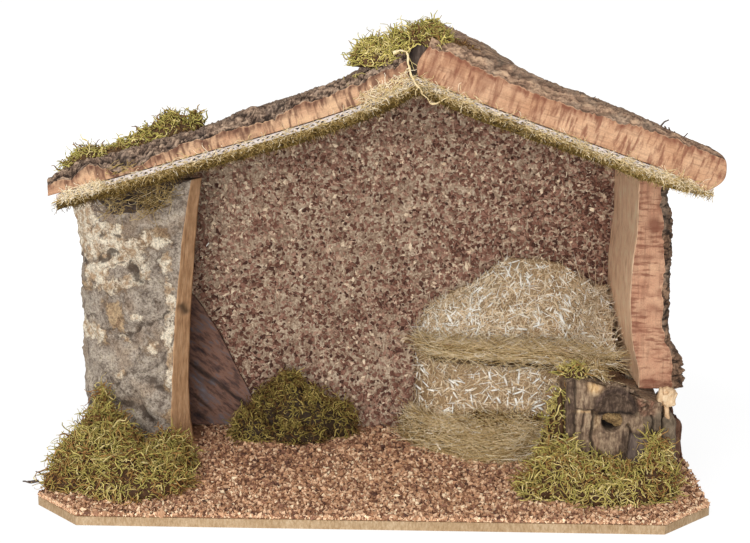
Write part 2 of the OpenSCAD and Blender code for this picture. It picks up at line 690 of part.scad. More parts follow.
hay_ledge_z = floor_z + seat + hay_block_h + seat;
module hay_ledge() {
    layers = 3;
    function ledge_point(c, r, front) = let (u = c / hay_cols, v = r / layers)
        [hay_x(u), front ? hay_front(u, hay_depth(u) - 1 + 4 * sin(180 * v)) : wall_y - seat,
         hay_ledge_z + hay_ledge_t * v];
    color("#b8a26c")
        grid_solid([for (r = [0:layers]) [for (c = [0:hay_cols]) ledge_point(c, r, true)]],
                   [for (r = [0:layers]) [for (c = [0:hay_cols]) ledge_point(c, r, false)]]);
}

// Upper mound: its height rises from the left to a peak and falls again, and it leans on the wall
hay_mound_z = hay_ledge_z + hay_ledge_t + seat;
module hay_mound() {
    function mound_top(u) = hay_mound_h * (0.36 + 0.3 * ease(-0.05, 0.3, u)
        + 0.34 * (ease(0.28, 0.48, u) - ease(0.72, 0.92, u)));
    function mound_depth(u, v) = 3 + (hay_mound_d - 3 + hay_mound_swell * ease(0.72, 1, u))
        * (1 - 0.8 * pow(v, 1.3));
    function mound_point(c, r, front) = let (u = c / hay_cols, v = r / hay_layers)
        [hay_x(0.03 + 0.97 * u),
         front ? hay_front(u, mound_depth(u, v)) : wall_y - seat,
         hay_mound_z + mound_top(u) * v];
    color("#cdb68e")
        grid_solid([for (r = [0:hay_layers]) [for (c = [0:hay_cols]) mound_point(c, r, true)]],
                   [for (r = [0:hay_layers]) [for (c = [0:hay_cols]) mound_point(c, r, false)]]);
}

// Loose hay on the floor round the front and left of the block, up to the stump moss
hay_bed_steps = 5;
hay_bed_end = 0.66;
module hay_bed() {
    function bed_point(c, r, top) =
        let (u = hay_bed_end * c / hay_cols, v = r / hay_bed_steps,
             x_in = hay_x(u) - seat,
             y_in = hay_front(u, hay_depth(u)) - 3 * seat,
             spread = (hay_bed_d + hay_bed_swell * (1 - ease(0, 0.3, abs(u - 0.36)))) * (1 - v),
             turn = 90 * part_of(0, 0.2, u),
             x = x_in - spread * 0.6 * cos(turn),
             y = y_in - spread * sin(max(12, turn)))
        [x, y, floor_z + seat + (top ? 0.8 + (hay_bed_h - 0.8) * sin(90 * v) : 0)];
    color("#b9a77c")
        grid_solid([for (r = [0:hay_bed_steps]) [for (c = [0:hay_cols]) bed_point(c, r, true)]],
                   [for (r = [0:hay_bed_steps]) [for (c = [0:hay_cols]) bed_point(c, r, false)]]);
}

// Moss cushions on the floor
left_moss_x = left_edge + left_moss_w / 2 - 1;
left_moss_y = bark_at(60, 0, left_bark_relief)[1] - 4 - left_moss_d / 2;
module front_left_moss() {
    color("olivedrab")
        mound(left_moss_x, left_moss_y, floor_z + seat, left_moss_w / 2, left_moss_d / 2, left_moss_h);
}

right_moss_x = stump_left - 30 + right_moss_w / 2;
right_moss_y = stump_front - 2.6 - root_piece_t - 1 - right_moss_d / 2;
module front_right_moss() {
    color("olivedrab")
        mound(right_moss_x, right_moss_y, floor_z + seat, right_moss_w / 2, right_moss_d / 2,
            right_moss_h);
}

back_moss_x = ridge_x - 94;
back_moss_y = wall_y - corner_t - 1 - back_moss_d / 2;
module back_moss() {
    color("darkolivegreen")
        mound(back_moss_x, back_moss_y, floor_z + seat, back_moss_w / 2, back_moss_d / 2, back_moss_h);
}

side_moss_w = 12;
side_moss_d = 24;
module stump_side_moss() {
    color("olivedrab")
        mound(stump_left - seat - side_moss_w / 2, stump_front + 4 + side_moss_d / 2, floor_z + seat,
            side_moss_w / 2, side_moss_d / 2, side_moss_h, 0.05);
}

top_moss_w = 15;
top_moss_d = 18;
top_moss_in = 15;
module stump_top_moss() {
    color("olivedrab")
        mound(stump_left + 1 + top_moss_w / 2, stump_front + top_moss_in,
            floor_z + stump_h + stump_head_relief + seat, top_moss_w / 2, top_moss_d / 2,
            top_moss_h, 0.05);
}

// Moss that lies on a cork slab: it follows the slab on the slab's own grid of points
function pad(u, v) = pow(max(0, 1 - pow(abs(2 * u - 1), 2.4)), 0.6)
                   * pow(max(0, 1 - pow(abs(2 * v - 1), 2.4)), 0.6);
moss_rim_t = 1.2;
roof_moss_c0 = 1;
roof_moss_c1 = 14;
roof_moss_r0 = 2;
roof_moss_r1 = 5;
module roof_moss() {
    function moss_point(c, r, top) =
        let (x = left_slab_x(c), y = slab_y(r),
             u = (c - roof_moss_c0) / (roof_moss_c1 - roof_moss_c0),
             v = (r - roof_moss_r0) / (roof_moss_r1 - roof_moss_r0),
             t = moss_rim_t + (roof_moss_t - moss_rim_t) * pad(u, v) * (0.55 + 0.45 * u))
        [x, y, left_top(x, y) + glue_gap + (top ? t : 0)];
    color("yellowgreen")
        grid_solid([for (r = [roof_moss_r0:roof_moss_r1]) [for (c = [roof_moss_c0:roof_moss_c1])
                       moss_point(c, r, true)]],
                   [for (r = [roof_moss_r0:roof_moss_r1]) [for (c = [roof_moss_c0:roof_moss_c1])
                       moss_point(c, r, false)]]);
}

// Moss on the ridge: it lies on both slabs and steps up from the left one to the right one
ridge_moss_r0 = 1;
ridge_moss_r1 = 4;
ridge_moss_lefts = 6;
ridge_moss_rights = 4;
ridge_moss_gap_over = 1.5;
module ridge_moss() {
    top_z = max([for (c = [0:ridge_moss_rights]) for (r = [ridge_moss_r0:ridge_moss_r1])
        right_top(right_slab_x(c), slab_y(r))]);
    lefts = [for (i = [ridge_moss_lefts:-1:0]) left_slab_x(slab_cols - i)];
    rights = [for (i = [0:ridge_moss_rights]) right_slab_x(i) - (i == 0 ? ridge_moss_gap_over : 0)];
    xs = concat(lefts, rights);
    cols = len(xs);
    function ridge_point(c, r, top) =
        let (x = xs[c], y = slab_y(r),
             u = c / (cols - 1), v = (r - ridge_moss_r0) / (ridge_moss_r1 - ridge_moss_r0),
             ground = x < ridge_x - ridge_gap + 0.1 ? left_top(x, y) : top_z,
             t = moss_rim_t + (ridge_moss_t - moss_rim_t) * pad(u, v) * (1 - 0.45 * ease(0.35, 0.6, u)))
        [x, y, ground + glue_gap + (top ? t : 0)];
    color("yellowgreen")
        grid_solid([for (r = [ridge_moss_r0:ridge_moss_r1]) [for (c = [0:cols - 1])
                       ridge_point(c, r, true)]],
                   [for (r = [ridge_moss_r0:ridge_moss_r1]) [for (c = [0:cols - 1])
                       ridge_point(c, r, false)]]);
}

// Pale rootlet over the front of the ridge: a thin tube along a wavy line
rootlet_steps = 18;
rootlet_sides = 6;
rootlet_left = 15.3;
rootlet_above = 15.5;
rootlet_over = 9.3;
rootlet_run = 25.1;
rootlet_drop = 33;
rootlet_lift = 4.5;
module ridge_rootlet() {
    y = roof_front - rootlet_dia / 2 - seat;
    function spine(t) = [ridge_x - rootlet_left + rootlet_over * part_of(0, 0.2, t)
                             + rootlet_run * pow(part_of(0.2, 1, t), 1.4), y,
                         ridge_z + rootlet_above - rootlet_drop * ease(0.1, 0.8, t)
                             + rootlet_lift * ease(0.85, 1, t)];
    color("wheat")
        ring_solid([for (k = [0:rootlet_steps])
            let (t = k / rootlet_steps, p = spine(t), d = spine(t + 0.01) - spine(t - 0.01),
                 n = norm(d), side = [-d[2] / n, 0, d[0] / n])
            [for (i = [0:rootlet_sides - 1]) let (a = 360 * i / rootlet_sides)
                p + rootlet_dia / 2 * (cos(a) * side + sin(a) * [0, 1, 0])]]);
}

// Panel pins driven up through the base into the left bark and the stump
module base_pins() {
    color("silver")
        for (p = pin_places())
            translate([p[0], p[1], 0]) {
                cylinder(d = pin_head_dia, h = pin_head_t, $fn = 24);
                cylinder(d = pin_dia, h = pin_l, $fn = 24);
            }
}

base_board();
floor_grit();
back_board();
wall_grit();
left_wall_bark();
corner_bark();
right_wall_cork();
roof_sheet();
left_roof_mat();
right_roof_mat();
left_roof_cork();
right_roof_cork();
stump_bark();
knot_tongue();
grey_bark();
side_bark();
root_piece();
wood_chip();
hay_block();
hay_ledge();
hay_mound();
hay_bed();
front_left_moss();
front_right_moss();
back_moss();
roof_moss();
ridge_moss();
stump_side_moss();
stump_top_moss();
ridge_rootlet();
base_pins();
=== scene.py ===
"""Looks of a rustic nativity stable of cork bark, grit, hay and moss, round its CAD frame.

Shapes are worked out in millimetres as numpy arrays and turned to metres where a mesh is made.
X is to the right as seen from the open front, Y to the back wall, Z up.
"""
import math

import bpy
import numpy as np
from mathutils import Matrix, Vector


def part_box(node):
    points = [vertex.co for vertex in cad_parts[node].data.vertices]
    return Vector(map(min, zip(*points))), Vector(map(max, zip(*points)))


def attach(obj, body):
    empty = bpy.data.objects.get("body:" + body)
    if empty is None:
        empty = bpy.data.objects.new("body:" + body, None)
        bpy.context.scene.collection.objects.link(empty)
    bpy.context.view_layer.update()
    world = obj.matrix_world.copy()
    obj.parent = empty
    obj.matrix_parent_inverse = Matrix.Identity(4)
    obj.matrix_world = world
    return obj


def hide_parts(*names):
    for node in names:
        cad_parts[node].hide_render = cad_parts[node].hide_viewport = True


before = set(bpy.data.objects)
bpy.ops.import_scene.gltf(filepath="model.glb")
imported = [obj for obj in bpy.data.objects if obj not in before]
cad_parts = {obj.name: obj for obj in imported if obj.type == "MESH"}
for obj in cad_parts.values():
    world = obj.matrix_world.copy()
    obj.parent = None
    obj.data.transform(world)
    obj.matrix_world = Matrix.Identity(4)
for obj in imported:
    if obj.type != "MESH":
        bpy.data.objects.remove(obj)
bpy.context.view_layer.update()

MM = 0.001


# Sizes of the stable in millimetres, as the frame has them
def node_box(name):
    """Lowest and highest corner of a CAD node in millimetres."""
    low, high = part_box(name)
    return np.array(low) / MM, np.array(high) / MM


BASE_LOW, BASE_HIGH = node_box("base_board")
FLOOR_Z = node_box("floor_grit")[1][2]
WALL_Y = node_box("wall_grit")[0][1]
BACK_Y = node_box("back_board")[1][1]
ROOF_FRONT = node_box("left_roof_cork")[0][1]
BASE_CHAMFER = 35
# Ridge and eaves as (x, z) on the underside of the cork, its lift at the ridge, and how sharply that sets in
RIDGE = (30, 288.5)
LEFT_EAVE = (-202, 213)
RIGHT_EAVE = (216, 220)
LEFT_LIFT, RIGHT_LIFT, BEND = 10.3, 3.0, 8
# How far the corrugated sheet hangs below the cork, its thickness, and that of the fibre mats under it
SHEET_DROP = 0.7
SHEET_T = 3.4
MAT_T = 8
# Plane just in front of the back wall's grit, where the pieces that lean on it end
AT_WALL = WALL_Y - 0.2
# Pieces stand that deep in the grit of the floor
GRIT_DEPTH = 1.5
IN_GRIT = FLOOR_Z - GRIT_DEPTH


def ease(a, b, v):
    """Share of the way from a to b, from 0 to 1, with a soft start and end: 3t² - 2t³."""
    t = np.clip((v - a) / (b - a), 0, 1)
    return t * t * (3 - 2 * t)


def roof_line(x):
    """Underside of the cork: straight from each eave, with a lift of u to the power 8 up to the ridge."""
    u = (x - LEFT_EAVE[0]) / (RIDGE[0] - LEFT_EAVE[0])
    v = (RIGHT_EAVE[0] - x) / (RIGHT_EAVE[0] - RIDGE[0])
    left = LEFT_EAVE[1] + (RIDGE[1] - LEFT_EAVE[1] - LEFT_LIFT) * u
    right = RIGHT_EAVE[1] + (RIDGE[1] - RIGHT_EAVE[1] - RIGHT_LIFT) * v
    left = left + LEFT_LIFT * np.clip(u, 0, 1) ** BEND
    right = right + RIGHT_LIFT * np.clip(v, 0, 1) ** BEND
    return np.where(x < RIDGE[0], left, right)


def roof_slope(x):
    return (roof_line(x + 1) - roof_line(x - 1)) / 2


def sheet_under(x):
    """Underside of the corrugated sheet, which hangs a little below the cork."""
    return roof_line(x) - SHEET_DROP - SHEET_T


# Noise
def lattice(i, j, k, seed):
    """Random value from 0 to 1 at whole-number points: an integer hash."""
    h = (i * 374761393 + j * 668265263 + k * 362437 + seed * 69069 + 12345) & 0xFFFFFFFF
    h = ((h ^ (h >> 13)) * 1274126177) & 0xFFFFFFFF
    return ((h ^ (h >> 16)) & 0xFFFF) / 65535.0


def noise(x, y, z, size, seed=0):
    """Smooth noise from -1 to 1 with features of that size: lattice values blended by 3t² - 2t³."""
    q = [np.asarray(v, float) / s for v, s in zip((x, y, z), np.broadcast_to(size, 3))]
    q = np.broadcast_arrays(*q)
    base = [np.floor(v).astype(np.int64) for v in q]
    t = [v - b for v, b in zip(q, base)]
    t = [v * v * (3 - 2 * v) for v in t]
    total = 0.0
    for corner in range(8):
        step = [(corner >> axis) & 1 for axis in range(3)]
        weight = 1.0
        for s, v in zip(step, t):
            weight = weight * (v if s else 1 - v)
        total = total + weight * lattice(base[0] + step[0], base[1] + step[1], base[2] + step[2], seed)
    return 2 * total - 1


def layered(x, y, z, size, seed=0, octaves=4):
    """Noise with finer and finer layers, each half the size and about half the height of the last."""
    size = np.broadcast_to(np.asarray(size, float), 3)
    total, scale = 0.0, 1.0
    for octave in range(octaves):
        total = total + scale * noise(x, y, z, size / 2 ** octave, seed + 17 * octave)
        scale *= 0.52
    return total


# Meshes as arrays
def form(points, triangles, slots=0, **marks):
    """A mesh as arrays: points in mm, triangles, the material slot of each triangle, marks of each point."""
    points = np.asarray(points, float).reshape(-1, 3)
    triangles = np.asarray(triangles, np.int64).reshape(-1, 3)
    slots = np.broadcast_to(np.asarray(slots), (len(triangles),))
    marks = {k: np.broadcast_to(np.asarray(v, float), (len(points),)) for k, v in marks.items()}
    return {"points": points, "triangles": triangles, "slots": slots, "marks": marks}


def join(*forms):
    """One form out of several; a mark that a form lacks is 0 there."""
    names = sorted({k for f in forms for k in f["marks"]})
    starts = np.cumsum([0] + [len(f["points"]) for f in forms[:-1]])
    return {
        "points": np.concatenate([f["points"] for f in forms]),
        "triangles": np.concatenate([f["triangles"] + s for f, s in zip(forms, starts)]),
        "slots": np.concatenate([f["slots"] for f in forms]),
        "marks": {k: np.concatenate([f["marks"].get(k, np.zeros(len(f["points"]))) for f in forms])
                  for k in names},
    }


def loft(rings, bands=None, cap=0, flip=False, **marks):
    """Closed skin over copies of stacked rings, an array of copy, station, point and axis.

    Neighbouring rings are joined by triangles, and each end is zipped shut from side to side.
    bands gives the material slot of the strip that starts at each point of a ring.
    """
    rings = np.asarray(rings, float)
    if rings.ndim == 3:
        rings = rings[None]
    copies, stations, count, _ = rings.shape
    i, j = np.meshgrid(np.arange(stations - 1), np.arange(count), indexing="ij")
    n = (j + 1) % count
    a, b, c, d = i * count + j, (i + 1) * count + j, (i + 1) * count + n, i * count + n
    sides = np.stack([a, b, c, a, c, d], -1).reshape(-1, 3)
    if bands is None:
        bands = np.zeros(count, int)
    slots = np.repeat(np.broadcast_to(bands, (stations - 1, count)).reshape(-1), 2)
    zipped = []
    for k in range(count // 2):
        for tri in ((k, k + 1, count - 2 - k), (k, count - 2 - k, count - 1 - k)):
            if len(set(tri)) == 3 and max(tri) < count:
                zipped.append(tri)
    zipped = np.array(zipped)
    end = zipped[:, ::-1] + (stations - 1) * count
    triangles = np.concatenate([sides, zipped, end])
    slots = np.concatenate([slots, np.full(2 * len(zipped), cap)])
    if flip:
        triangles = triangles[:, ::-1]
    size = stations * count
    triangles = (triangles[None] + np.arange(copies)[:, None, None] * size).reshape(-1, 3)
    marks = {k: np.broadcast_to(np.asarray(v, float), (copies, stations, count)).reshape(-1)
             for k, v in marks.items()}
    return form(rings.reshape(-1, 3), triangles, np.tile(slots, copies), **marks)


def unit(v):
    return v / np.maximum(np.linalg.norm(v, axis=-1, keepdims=True), 1e-9)


def row(count, start=0, stop=1):
    """Even steps round a ring, side by side."""
    return np.linspace(start, stop, count)[None, :]


def column(count, start=0, stop=1):
    """Even steps from ring to ring, one below another."""
    return np.linspace(start, stop, count)[:, None]


def rings_of(*stretches):
    """Rings out of stretches that follow each other, each given by its x, y and z."""
    return np.concatenate([np.stack(np.broadcast_arrays(*s), -1) for s in stretches], 1)


def padded(mark, before, after):
    """A mark that one stretch of each ring has, with 0 at the points before and after it."""
    return np.pad(mark, ((0, 0), (before, after)))


def random_units(rng, count):
    return unit(rng.normal(size=(count, 3)))


def tubes(rng, paths, radii, sides=3, flat=1.0, **marks):
    """Tubes along many paths: each ring is the path's point plus the radius times a cosine and a sine,
    along two directions square to the path. flat makes the second one smaller, as on a blade of straw."""
    tangent = unit(np.gradient(paths, axis=1))
    side = unit(np.cross(tangent, random_units(rng, len(paths))[:, None, :]))
    over = np.cross(tangent, side)
    angle = (np.arange(sides) * 2 * math.pi / sides)[:, None]
    spokes = np.cos(angle) * side[:, :, None, :] + flat * np.sin(angle) * over[:, :, None, :]
    rings = paths[:, :, None, :] + radii[:, :, None, None] * spokes
    marks = {k: np.broadcast_to(v, paths.shape[:2])[:, :, None] for k, v in marks.items()}
    return loft(rings, flip=True, **marks)


def tapered(widths, end, steps):
    """Radii along paths: half of each path's width at its root, and that share of it at its tip."""
    return widths[:, None] / 2 * np.linspace(1, end, steps)[None]


def tones(rng, tint, count):
    """Random tones from 0 to 1, round the mean and with the spread that tint gives."""
    return np.clip(rng.normal(*tint, count), 0, 1)


def curls(rng, roots, heading, length, turn, steps=7, wave=0.0, sag=0.0, sway=0.45):
    """Paths that start at roots and swing as they go: the heading turns by an even part and a sine part
    towards a random direction square to it, and the path adds up the headings."""
    count = len(roots)
    t = np.linspace(0, 1, steps)[None, :, None]
    heading = unit(heading)[:, None, :]
    across = unit(np.cross(heading, random_units(rng, count)[:, None, :]))
    third = np.cross(heading, across)
    phase = rng.uniform(0, 2 * math.pi, (count, 1, 1))
    swing = turn[:, None, None] * t + wave * (np.sin(2 * math.pi * 1.3 * t + phase) - np.sin(phase))
    steps_dir = np.cos(swing) * heading + np.sin(swing) * across + sway * np.sin(4 * t + 2 * phase) * third
    steps_dir = unit(steps_dir) * (length[:, None, None] / (steps - 1))
    path = np.cumsum(steps_dir, axis=1)
    path = roots[:, None, :] + path - path[:, :1]
    path[:, :, 2] -= sag * (t * t)[:, :, 0]
    return path


OCTAHEDRON = np.array([[1, 0, 0], [-1, 0, 0], [0, 1, 0], [0, -1, 0], [0, 0, 1], [0, 0, -1]], float)
OCTAHEDRON_FACES = np.array([[0, 2, 4], [2, 1, 4], [1, 3, 4], [3, 0, 4],
                             [2, 0, 5], [1, 2, 5], [3, 1, 5], [0, 3, 5]])


def granules(rng, places, sizes, tints):
    """Crumbs of cork: octahedra with uneven corners, each turned at random by a unit quaternion."""
    count = len(places)
    corners = OCTAHEDRON[None] * rng.uniform(0.55, 1.25, (count, 6, 1))
    corners = corners * rng.uniform([0.8, 0.6, 0.45], [1.35, 1.0, 0.8], (count, 1, 3))
    corners = corners + rng.normal(0, 0.14, (count, 6, 3))
    w, x, y, z = unit(rng.normal(size=(count, 4))).T
    turn = np.stack([1 - 2 * (y * y + z * z), 2 * (x * y - z * w), 2 * (x * z + y * w),
                     2 * (x * y + z * w), 1 - 2 * (x * x + z * z), 2 * (y * z - x * w),
                     2 * (x * z - y * w), 2 * (y * z + x * w), 1 - 2 * (x * x + y * y)], -1)
    turn = turn.reshape(count, 3, 3)
    points = places[:, None, :] + sizes[:, None, None] * np.einsum("nij,nkj->nki", turn, corners)
    triangles = OCTAHEDRON_FACES[None] + 6 * np.arange(count)[:, None, None]
    return form(points, triangles, tint=np.repeat(tints, 6))


def keep_above(made, level):
    """Lifts what dips below a level, so that nothing sinks under the floor."""
    made["points"][:, 2] = np.maximum(made["points"][:, 2], level)
    return made


def prism(outline, z0, z1, slots=0):
    """Straight plate over a convex outline given anticlockwise."""
    outline = np.asarray(outline, float)
    n = len(outline)
    low = np.column_stack([outline, np.full(n, z0)])
    high = np.column_stack([outline, np.full(n, z1)])
    fan = np.array([[0, k, k + 1] for k in range(1, n - 1)])
    side = np.array([[k, (k + 1) % n, n + (k + 1) % n, k, n + (k + 1) % n, n + k] for k in range(n)])
    triangles = np.concatenate([fan[:, ::-1], fan + n, side.reshape(-1, 3)])
    return form(np.concatenate([low, high]), triangles, slots)


def new_object(name, data):
    """An object of the scene with that mesh, lamp or camera."""
    obj = bpy.data.objects.new(name, data)
    bpy.context.scene.collection.objects.link(obj)
    return obj


def mesh_object(name, made, materials, smooth=True):
    """Turns a form into an object: its points in metres, its triangles, marks and materials."""
    mesh = bpy.data.meshes.new(name)
    points, triangles = made["points"], made["triangles"]
    mesh.vertices.add(len(points))
    mesh.vertices.foreach_set("co", (points * MM).astype(np.float32).ravel())
    mesh.loops.add(3 * len(triangles))
    mesh.loops.foreach_set("vertex_index", triangles.astype(np.int32).ravel())
    mesh.polygons.add(len(triangles))
    mesh.polygons.foreach_set("loop_start", np.arange(0, 3 * len(triangles), 3, dtype=np.int32))
    mesh.polygons.foreach_set("material_index", made["slots"].astype(np.int32))
    mesh.polygons.foreach_set("use_smooth", np.full(len(triangles), smooth))
    mesh.update(calc_edges=True)
    for mark, values in made["marks"].items():
        attribute = mesh.attributes.new(mark, "FLOAT", "POINT")
        attribute.data.foreach_set("value", values.astype(np.float32))
    for material in materials:
        mesh.materials.append(material)
    return new_object(name, mesh)


def piece(name, made, materials, replaced=(), smooth=True):
    """Makes a form a piece of the stable, with its body and the CAD nodes that it replaces."""
    obj = mesh_object(name, made, materials, smooth)
    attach(obj, "root")
    if replaced:
        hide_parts(*replaced)


def dress(node, material):
    """Gives a CAD node, whose shape is right, its finish."""
    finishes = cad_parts[node].data.materials
    finishes.clear()
    finishes.append(material)


# Materials
# The output that is read of each kind of node
READ = {"TexCoord": "Object", "Mapping": "Vector", "TexNoise": "Fac", "TexVoronoi": "Color",
        "Attribute": "Fac", "SeparateColor": "Red", "ValToRGB": "Color", "MapRange": 0, "Math": "Value",
        "Mix": 2, "VectorMath": "Value", "Bump": "Normal", "BsdfPrincipled": "BSDF", "BsdfDiffuse": "BSDF",
        "Emission": "Emission", "MixShader": "Shader", "Background": "Background"}
# Settings of a node that lays one colour over another, and of one that multiplies the two
BLEND = {"data_type": "RGBA"}
SHADE = {"data_type": "RGBA", "blend_type": "MULTIPLY"}
# Width and length of the pore lines of cork, and width of a group of them
PORE_W, PORE_L = 1.5, 7
GROUP_W = 1.6 * PORE_W


def linear(code):
    """Linear colour of an sRGB hex value."""
    parts = [int(code[i:i + 2], 16) / 255 for i in (1, 3, 5)]
    return [c / 12.92 if c <= 0.04045 else ((c + 0.055) / 1.055) ** 2.4 for c in parts] + [1.0]


def per(size):
    """Texture scale of a pattern whose features measure that many millimetres."""
    return 1 / (size * MM)


def add(tree, kind, inputs=None, stops=None, **settings):
    """Adds one shader node with its settings, its inputs and, on a colour ramp, its stops. Returns the output
    that is read, or the node itself where several outputs are."""
    made = tree.nodes.new("ShaderNode" + kind)
    for name, value in settings.items():
        setattr(made, name, value)
    for key, value in (inputs or {}).items():
        if isinstance(value, bpy.types.NodeSocket):
            tree.links.new(value, made.inputs[key])
        else:
            made.inputs[key].default_value = linear(value) if isinstance(value, str) else value
    if stops:
        elements = made.color_ramp.elements
        while len(elements) < len(stops):
            elements.new(0.5)
        for element, (place, tone) in zip(elements, stops):
            element.position = place
            element.color = linear(tone) if isinstance(tone, str) else (tone, tone, tone, 1)
    return made.outputs[READ[kind]] if kind in READ else made


def new_tree(name):
    """A new material, its empty node tree, and the place in the stable that its patterns read."""
    material = bpy.data.materials.new(name)
    material.use_nodes = True
    material.node_tree.nodes.clear()
    return material, material.node_tree, add(material.node_tree, "TexCoord")


def coat(tree, under, over, level, start, end, share):
    """Lays one colour over another where a level goes from start to end, up to that share."""
    mask = add(tree, "MapRange", {0: level, 1: start, 2: end, 4: share})
    return add(tree, "Mix", {0: mask, 6: under, 7: over}, **BLEND)


def close_tree(tree, colour, roughness, height, depth, specular=0.3):
    """Ends a material: a matt surface of that colour whose relief is depth mm high."""
    bump = add(tree, "Bump", {"Height": height, "Distance": depth * MM})
    surface = add(tree, "BsdfPrincipled", {"Base Color": colour, "Roughness": roughness,
                                           "Specular IOR Level": specular, "Normal": bump})
    add(tree, "OutputMaterial", {"Surface": surface})


def hardboard():
    """Pressed wood fibre, sawn: tan, with fibres under 1 mm drawn at 1.2 mm and soft cloudy patches."""
    material, tree, place = new_tree("pressed fibreboard")
    stretched = add(tree, "Mapping", {"Vector": place, "Scale": (1, 1, 0.35)})
    fibre = add(tree, "TexNoise", {"Vector": stretched, "Scale": per(1.2), "Detail": 4.0, "Roughness": 0.7})
    cloud = add(tree, "TexNoise", {"Vector": place, "Scale": per(22), "Detail": 2.0})
    grain = add(tree, "ValToRGB", {"Fac": fibre}, [(0.3, "#9B815F"), (0.5, "#B79C7B"), (0.72, "#CDB798")])
    tone = add(tree, "ValToRGB", {"Fac": cloud}, [(0.35, "#D9CDBC"), (0.65, "#FFFFFF")])
    colour = add(tree, "Mix", {0: 0.6, 6: grain, 7: tone}, **SHADE)
    close_tree(tree, colour, 0.85, fibre, 0.25)
    return material


def cork_crumbs(name, stops):
    """Ground cork glued down: each crumb has its own tone, from charred brown to fresh tan, and no shine."""
    material, tree, place = new_tree(name)
    tint = add(tree, "Attribute", attribute_name="tint")
    speck = add(tree, "TexNoise", {"Vector": place, "Scale": per(1.1), "Detail": 3.0})
    shifted = add(tree, "Math", {0: speck, 1: 0.3, 2: tint}, operation="MULTIPLY_ADD")
    lowered = add(tree, "Math", {0: shifted, 1: 0.15}, operation="SUBTRACT")
    close_tree(tree, add(tree, "ValToRGB", {"Fac": lowered}, stops), 0.9, speck, 0.2)
    return material


def glue_bed(name, stops, grain, fibre=0.0):
    """Glue and cork dust under the crumbs: blotchy, matt, at the size of the crumbs that it holds. With
    fibre, fine pale hairs of the board show through it."""
    material, tree, place = new_tree(name)
    crumb = add(tree, "TexVoronoi", {"Vector": place, "Scale": per(grain)})
    blotch = add(tree, "TexNoise", {"Vector": place, "Scale": per(9), "Detail": 4.0})
    value = add(tree, "SeparateColor", {"Color": crumb})
    mixed = add(tree, "Math", {0: value, 1: 0.5, 2: blotch}, operation="MULTIPLY_ADD")
    scaled = add(tree, "Math", {0: mixed, 1: 0.67}, operation="MULTIPLY")
    colour = add(tree, "ValToRGB", {"Fac": scaled}, stops)
    turned = add(tree, "Mapping", {"Vector": place, "Scale": (1, 1, 0.12), "Rotation": (0, 0.5, 0)})
    hair = add(tree, "TexNoise", {"Vector": turned, "Scale": per(0.9), "Detail": 2.0})
    colour = coat(tree, colour, "#D8C8B0", hair, 0.6, 0.72, fibre)
    close_tree(tree, colour, 0.92, value, 0.5)
    return material


def sawn_cork(name, pale, mid, line, tilt):
    """Cork cut by a saw across its layers: even tan flesh, faint layers along the slab, and soft brown pore
    lines in groups straight through it. tilt turns the pattern to the slope of the slab."""
    material, tree, place = new_tree(name)
    turned = add(tree, "Mapping", {"Vector": place, "Rotation": (0, tilt, 0)})
    across = add(tree, "Mapping", {"Vector": turned, "Scale": (1, 0.3, PORE_W / PORE_L)})
    along = add(tree, "Mapping", {"Vector": turned, "Scale": (0.08, 0.3, 1)})
    pore, layer, cloud, speck, patch = (
        add(tree, "TexNoise", {"Vector": where, "Scale": per(size), "Detail": detail, "Roughness": rough})
        for where, size, detail, rough in ((across, GROUP_W, 4.0, 0.6), (along, 1.6, 4.0, 0.65),
                                           (turned, 16, 5.0, 0.6), (place, 1.0, 3.0, 0.7),
                                           (turned, 14, 2.0, 0.5)))
    colour = add(tree, "ValToRGB", {"Fac": cloud}, [(0.36, mid), (0.6, pale)])
    for share, source, stops in ((0.8, layer, [(0.3, 0.62), (0.52, 1.0)]),
                                 (0.7, speck, [(0.32, 0.7), (0.6, 1.0)])):
        tone = add(tree, "ValToRGB", {"Fac": source}, stops)
        colour = add(tree, "Mix", {0: share, 6: colour, 7: tone}, **SHADE)
    raised = add(tree, "Math", {0: patch, 1: 0.45, 2: pore}, operation="MULTIPLY_ADD")
    lines = add(tree, "MapRange", {0: raised, 1: 0.72, 2: 0.88, 4: 0.85})
    for mask in (lines, add(tree, "Attribute", attribute_name="stain")):
        colour = add(tree, "Mix", {0: mask, 6: colour, 7: line}, **BLEND)
    relief = add(tree, "Math", {0: layer, 1: lines}, operation="SUBTRACT")
    close_tree(tree, colour, 0.85, relief, 0.3, 0.2)
    return material


def cork_bark(name, dark, mid, light, grey, stretch, size, worn, deep=0.85):
    """Outer cork bark: brown plates that weather to grey on top, no shine, and painted shade: nearly black
    crevices, darker low relief.
    """
    material, tree, place = new_tree(name)
    drawn = add(tree, "Mapping", {"Vector": place, "Scale": stretch})
    rib, fine, bloom = (
        add(tree, "TexNoise", {"Vector": where, "Scale": per(width), "Detail": detail, "Roughness": rough})
        for where, width, detail, rough in ((drawn, size, 6.0, 0.68), (place, 1.3, 4.0, 0.72),
                                            (place, 17, 5.0, 0.65)))
    high, gap = (add(tree, "Attribute", attribute_name=mark) for mark in ("high", "gap"))
    summed = add(tree, "Math", {0: fine, 1: 0.45, 2: rib}, operation="MULTIPLY_ADD")
    # Raised plates are painted lighter and low ones darker: painted light and shade on the relief.
    lifted = add(tree, "Math", {0: high, 1: 0.2, 2: summed}, operation="MULTIPLY_ADD")
    colour = add(tree, "ValToRGB", {"Fac": lifted}, [(0.55, dark), (0.78, mid), (1.0, light)])
    colour = coat(tree, colour, grey, bloom, 0.5, 0.62, worn)
    # Darker where the bump is low: painted shade.
    shade = add(tree, "ValToRGB", {"Fac": summed}, [(0.5, 0.4), (0.8, 1.0)])
    colour = add(tree, "Mix", {0: 1.0, 6: colour, 7: shade}, **SHADE)
    # Crevices painted nearly black: painted shade.
    colour = coat(tree, colour, "#1E1612", gap, 0.15, 0.8, deep)
    close_tree(tree, colour, 0.92, summed, 1.1, 0.2)
    return material


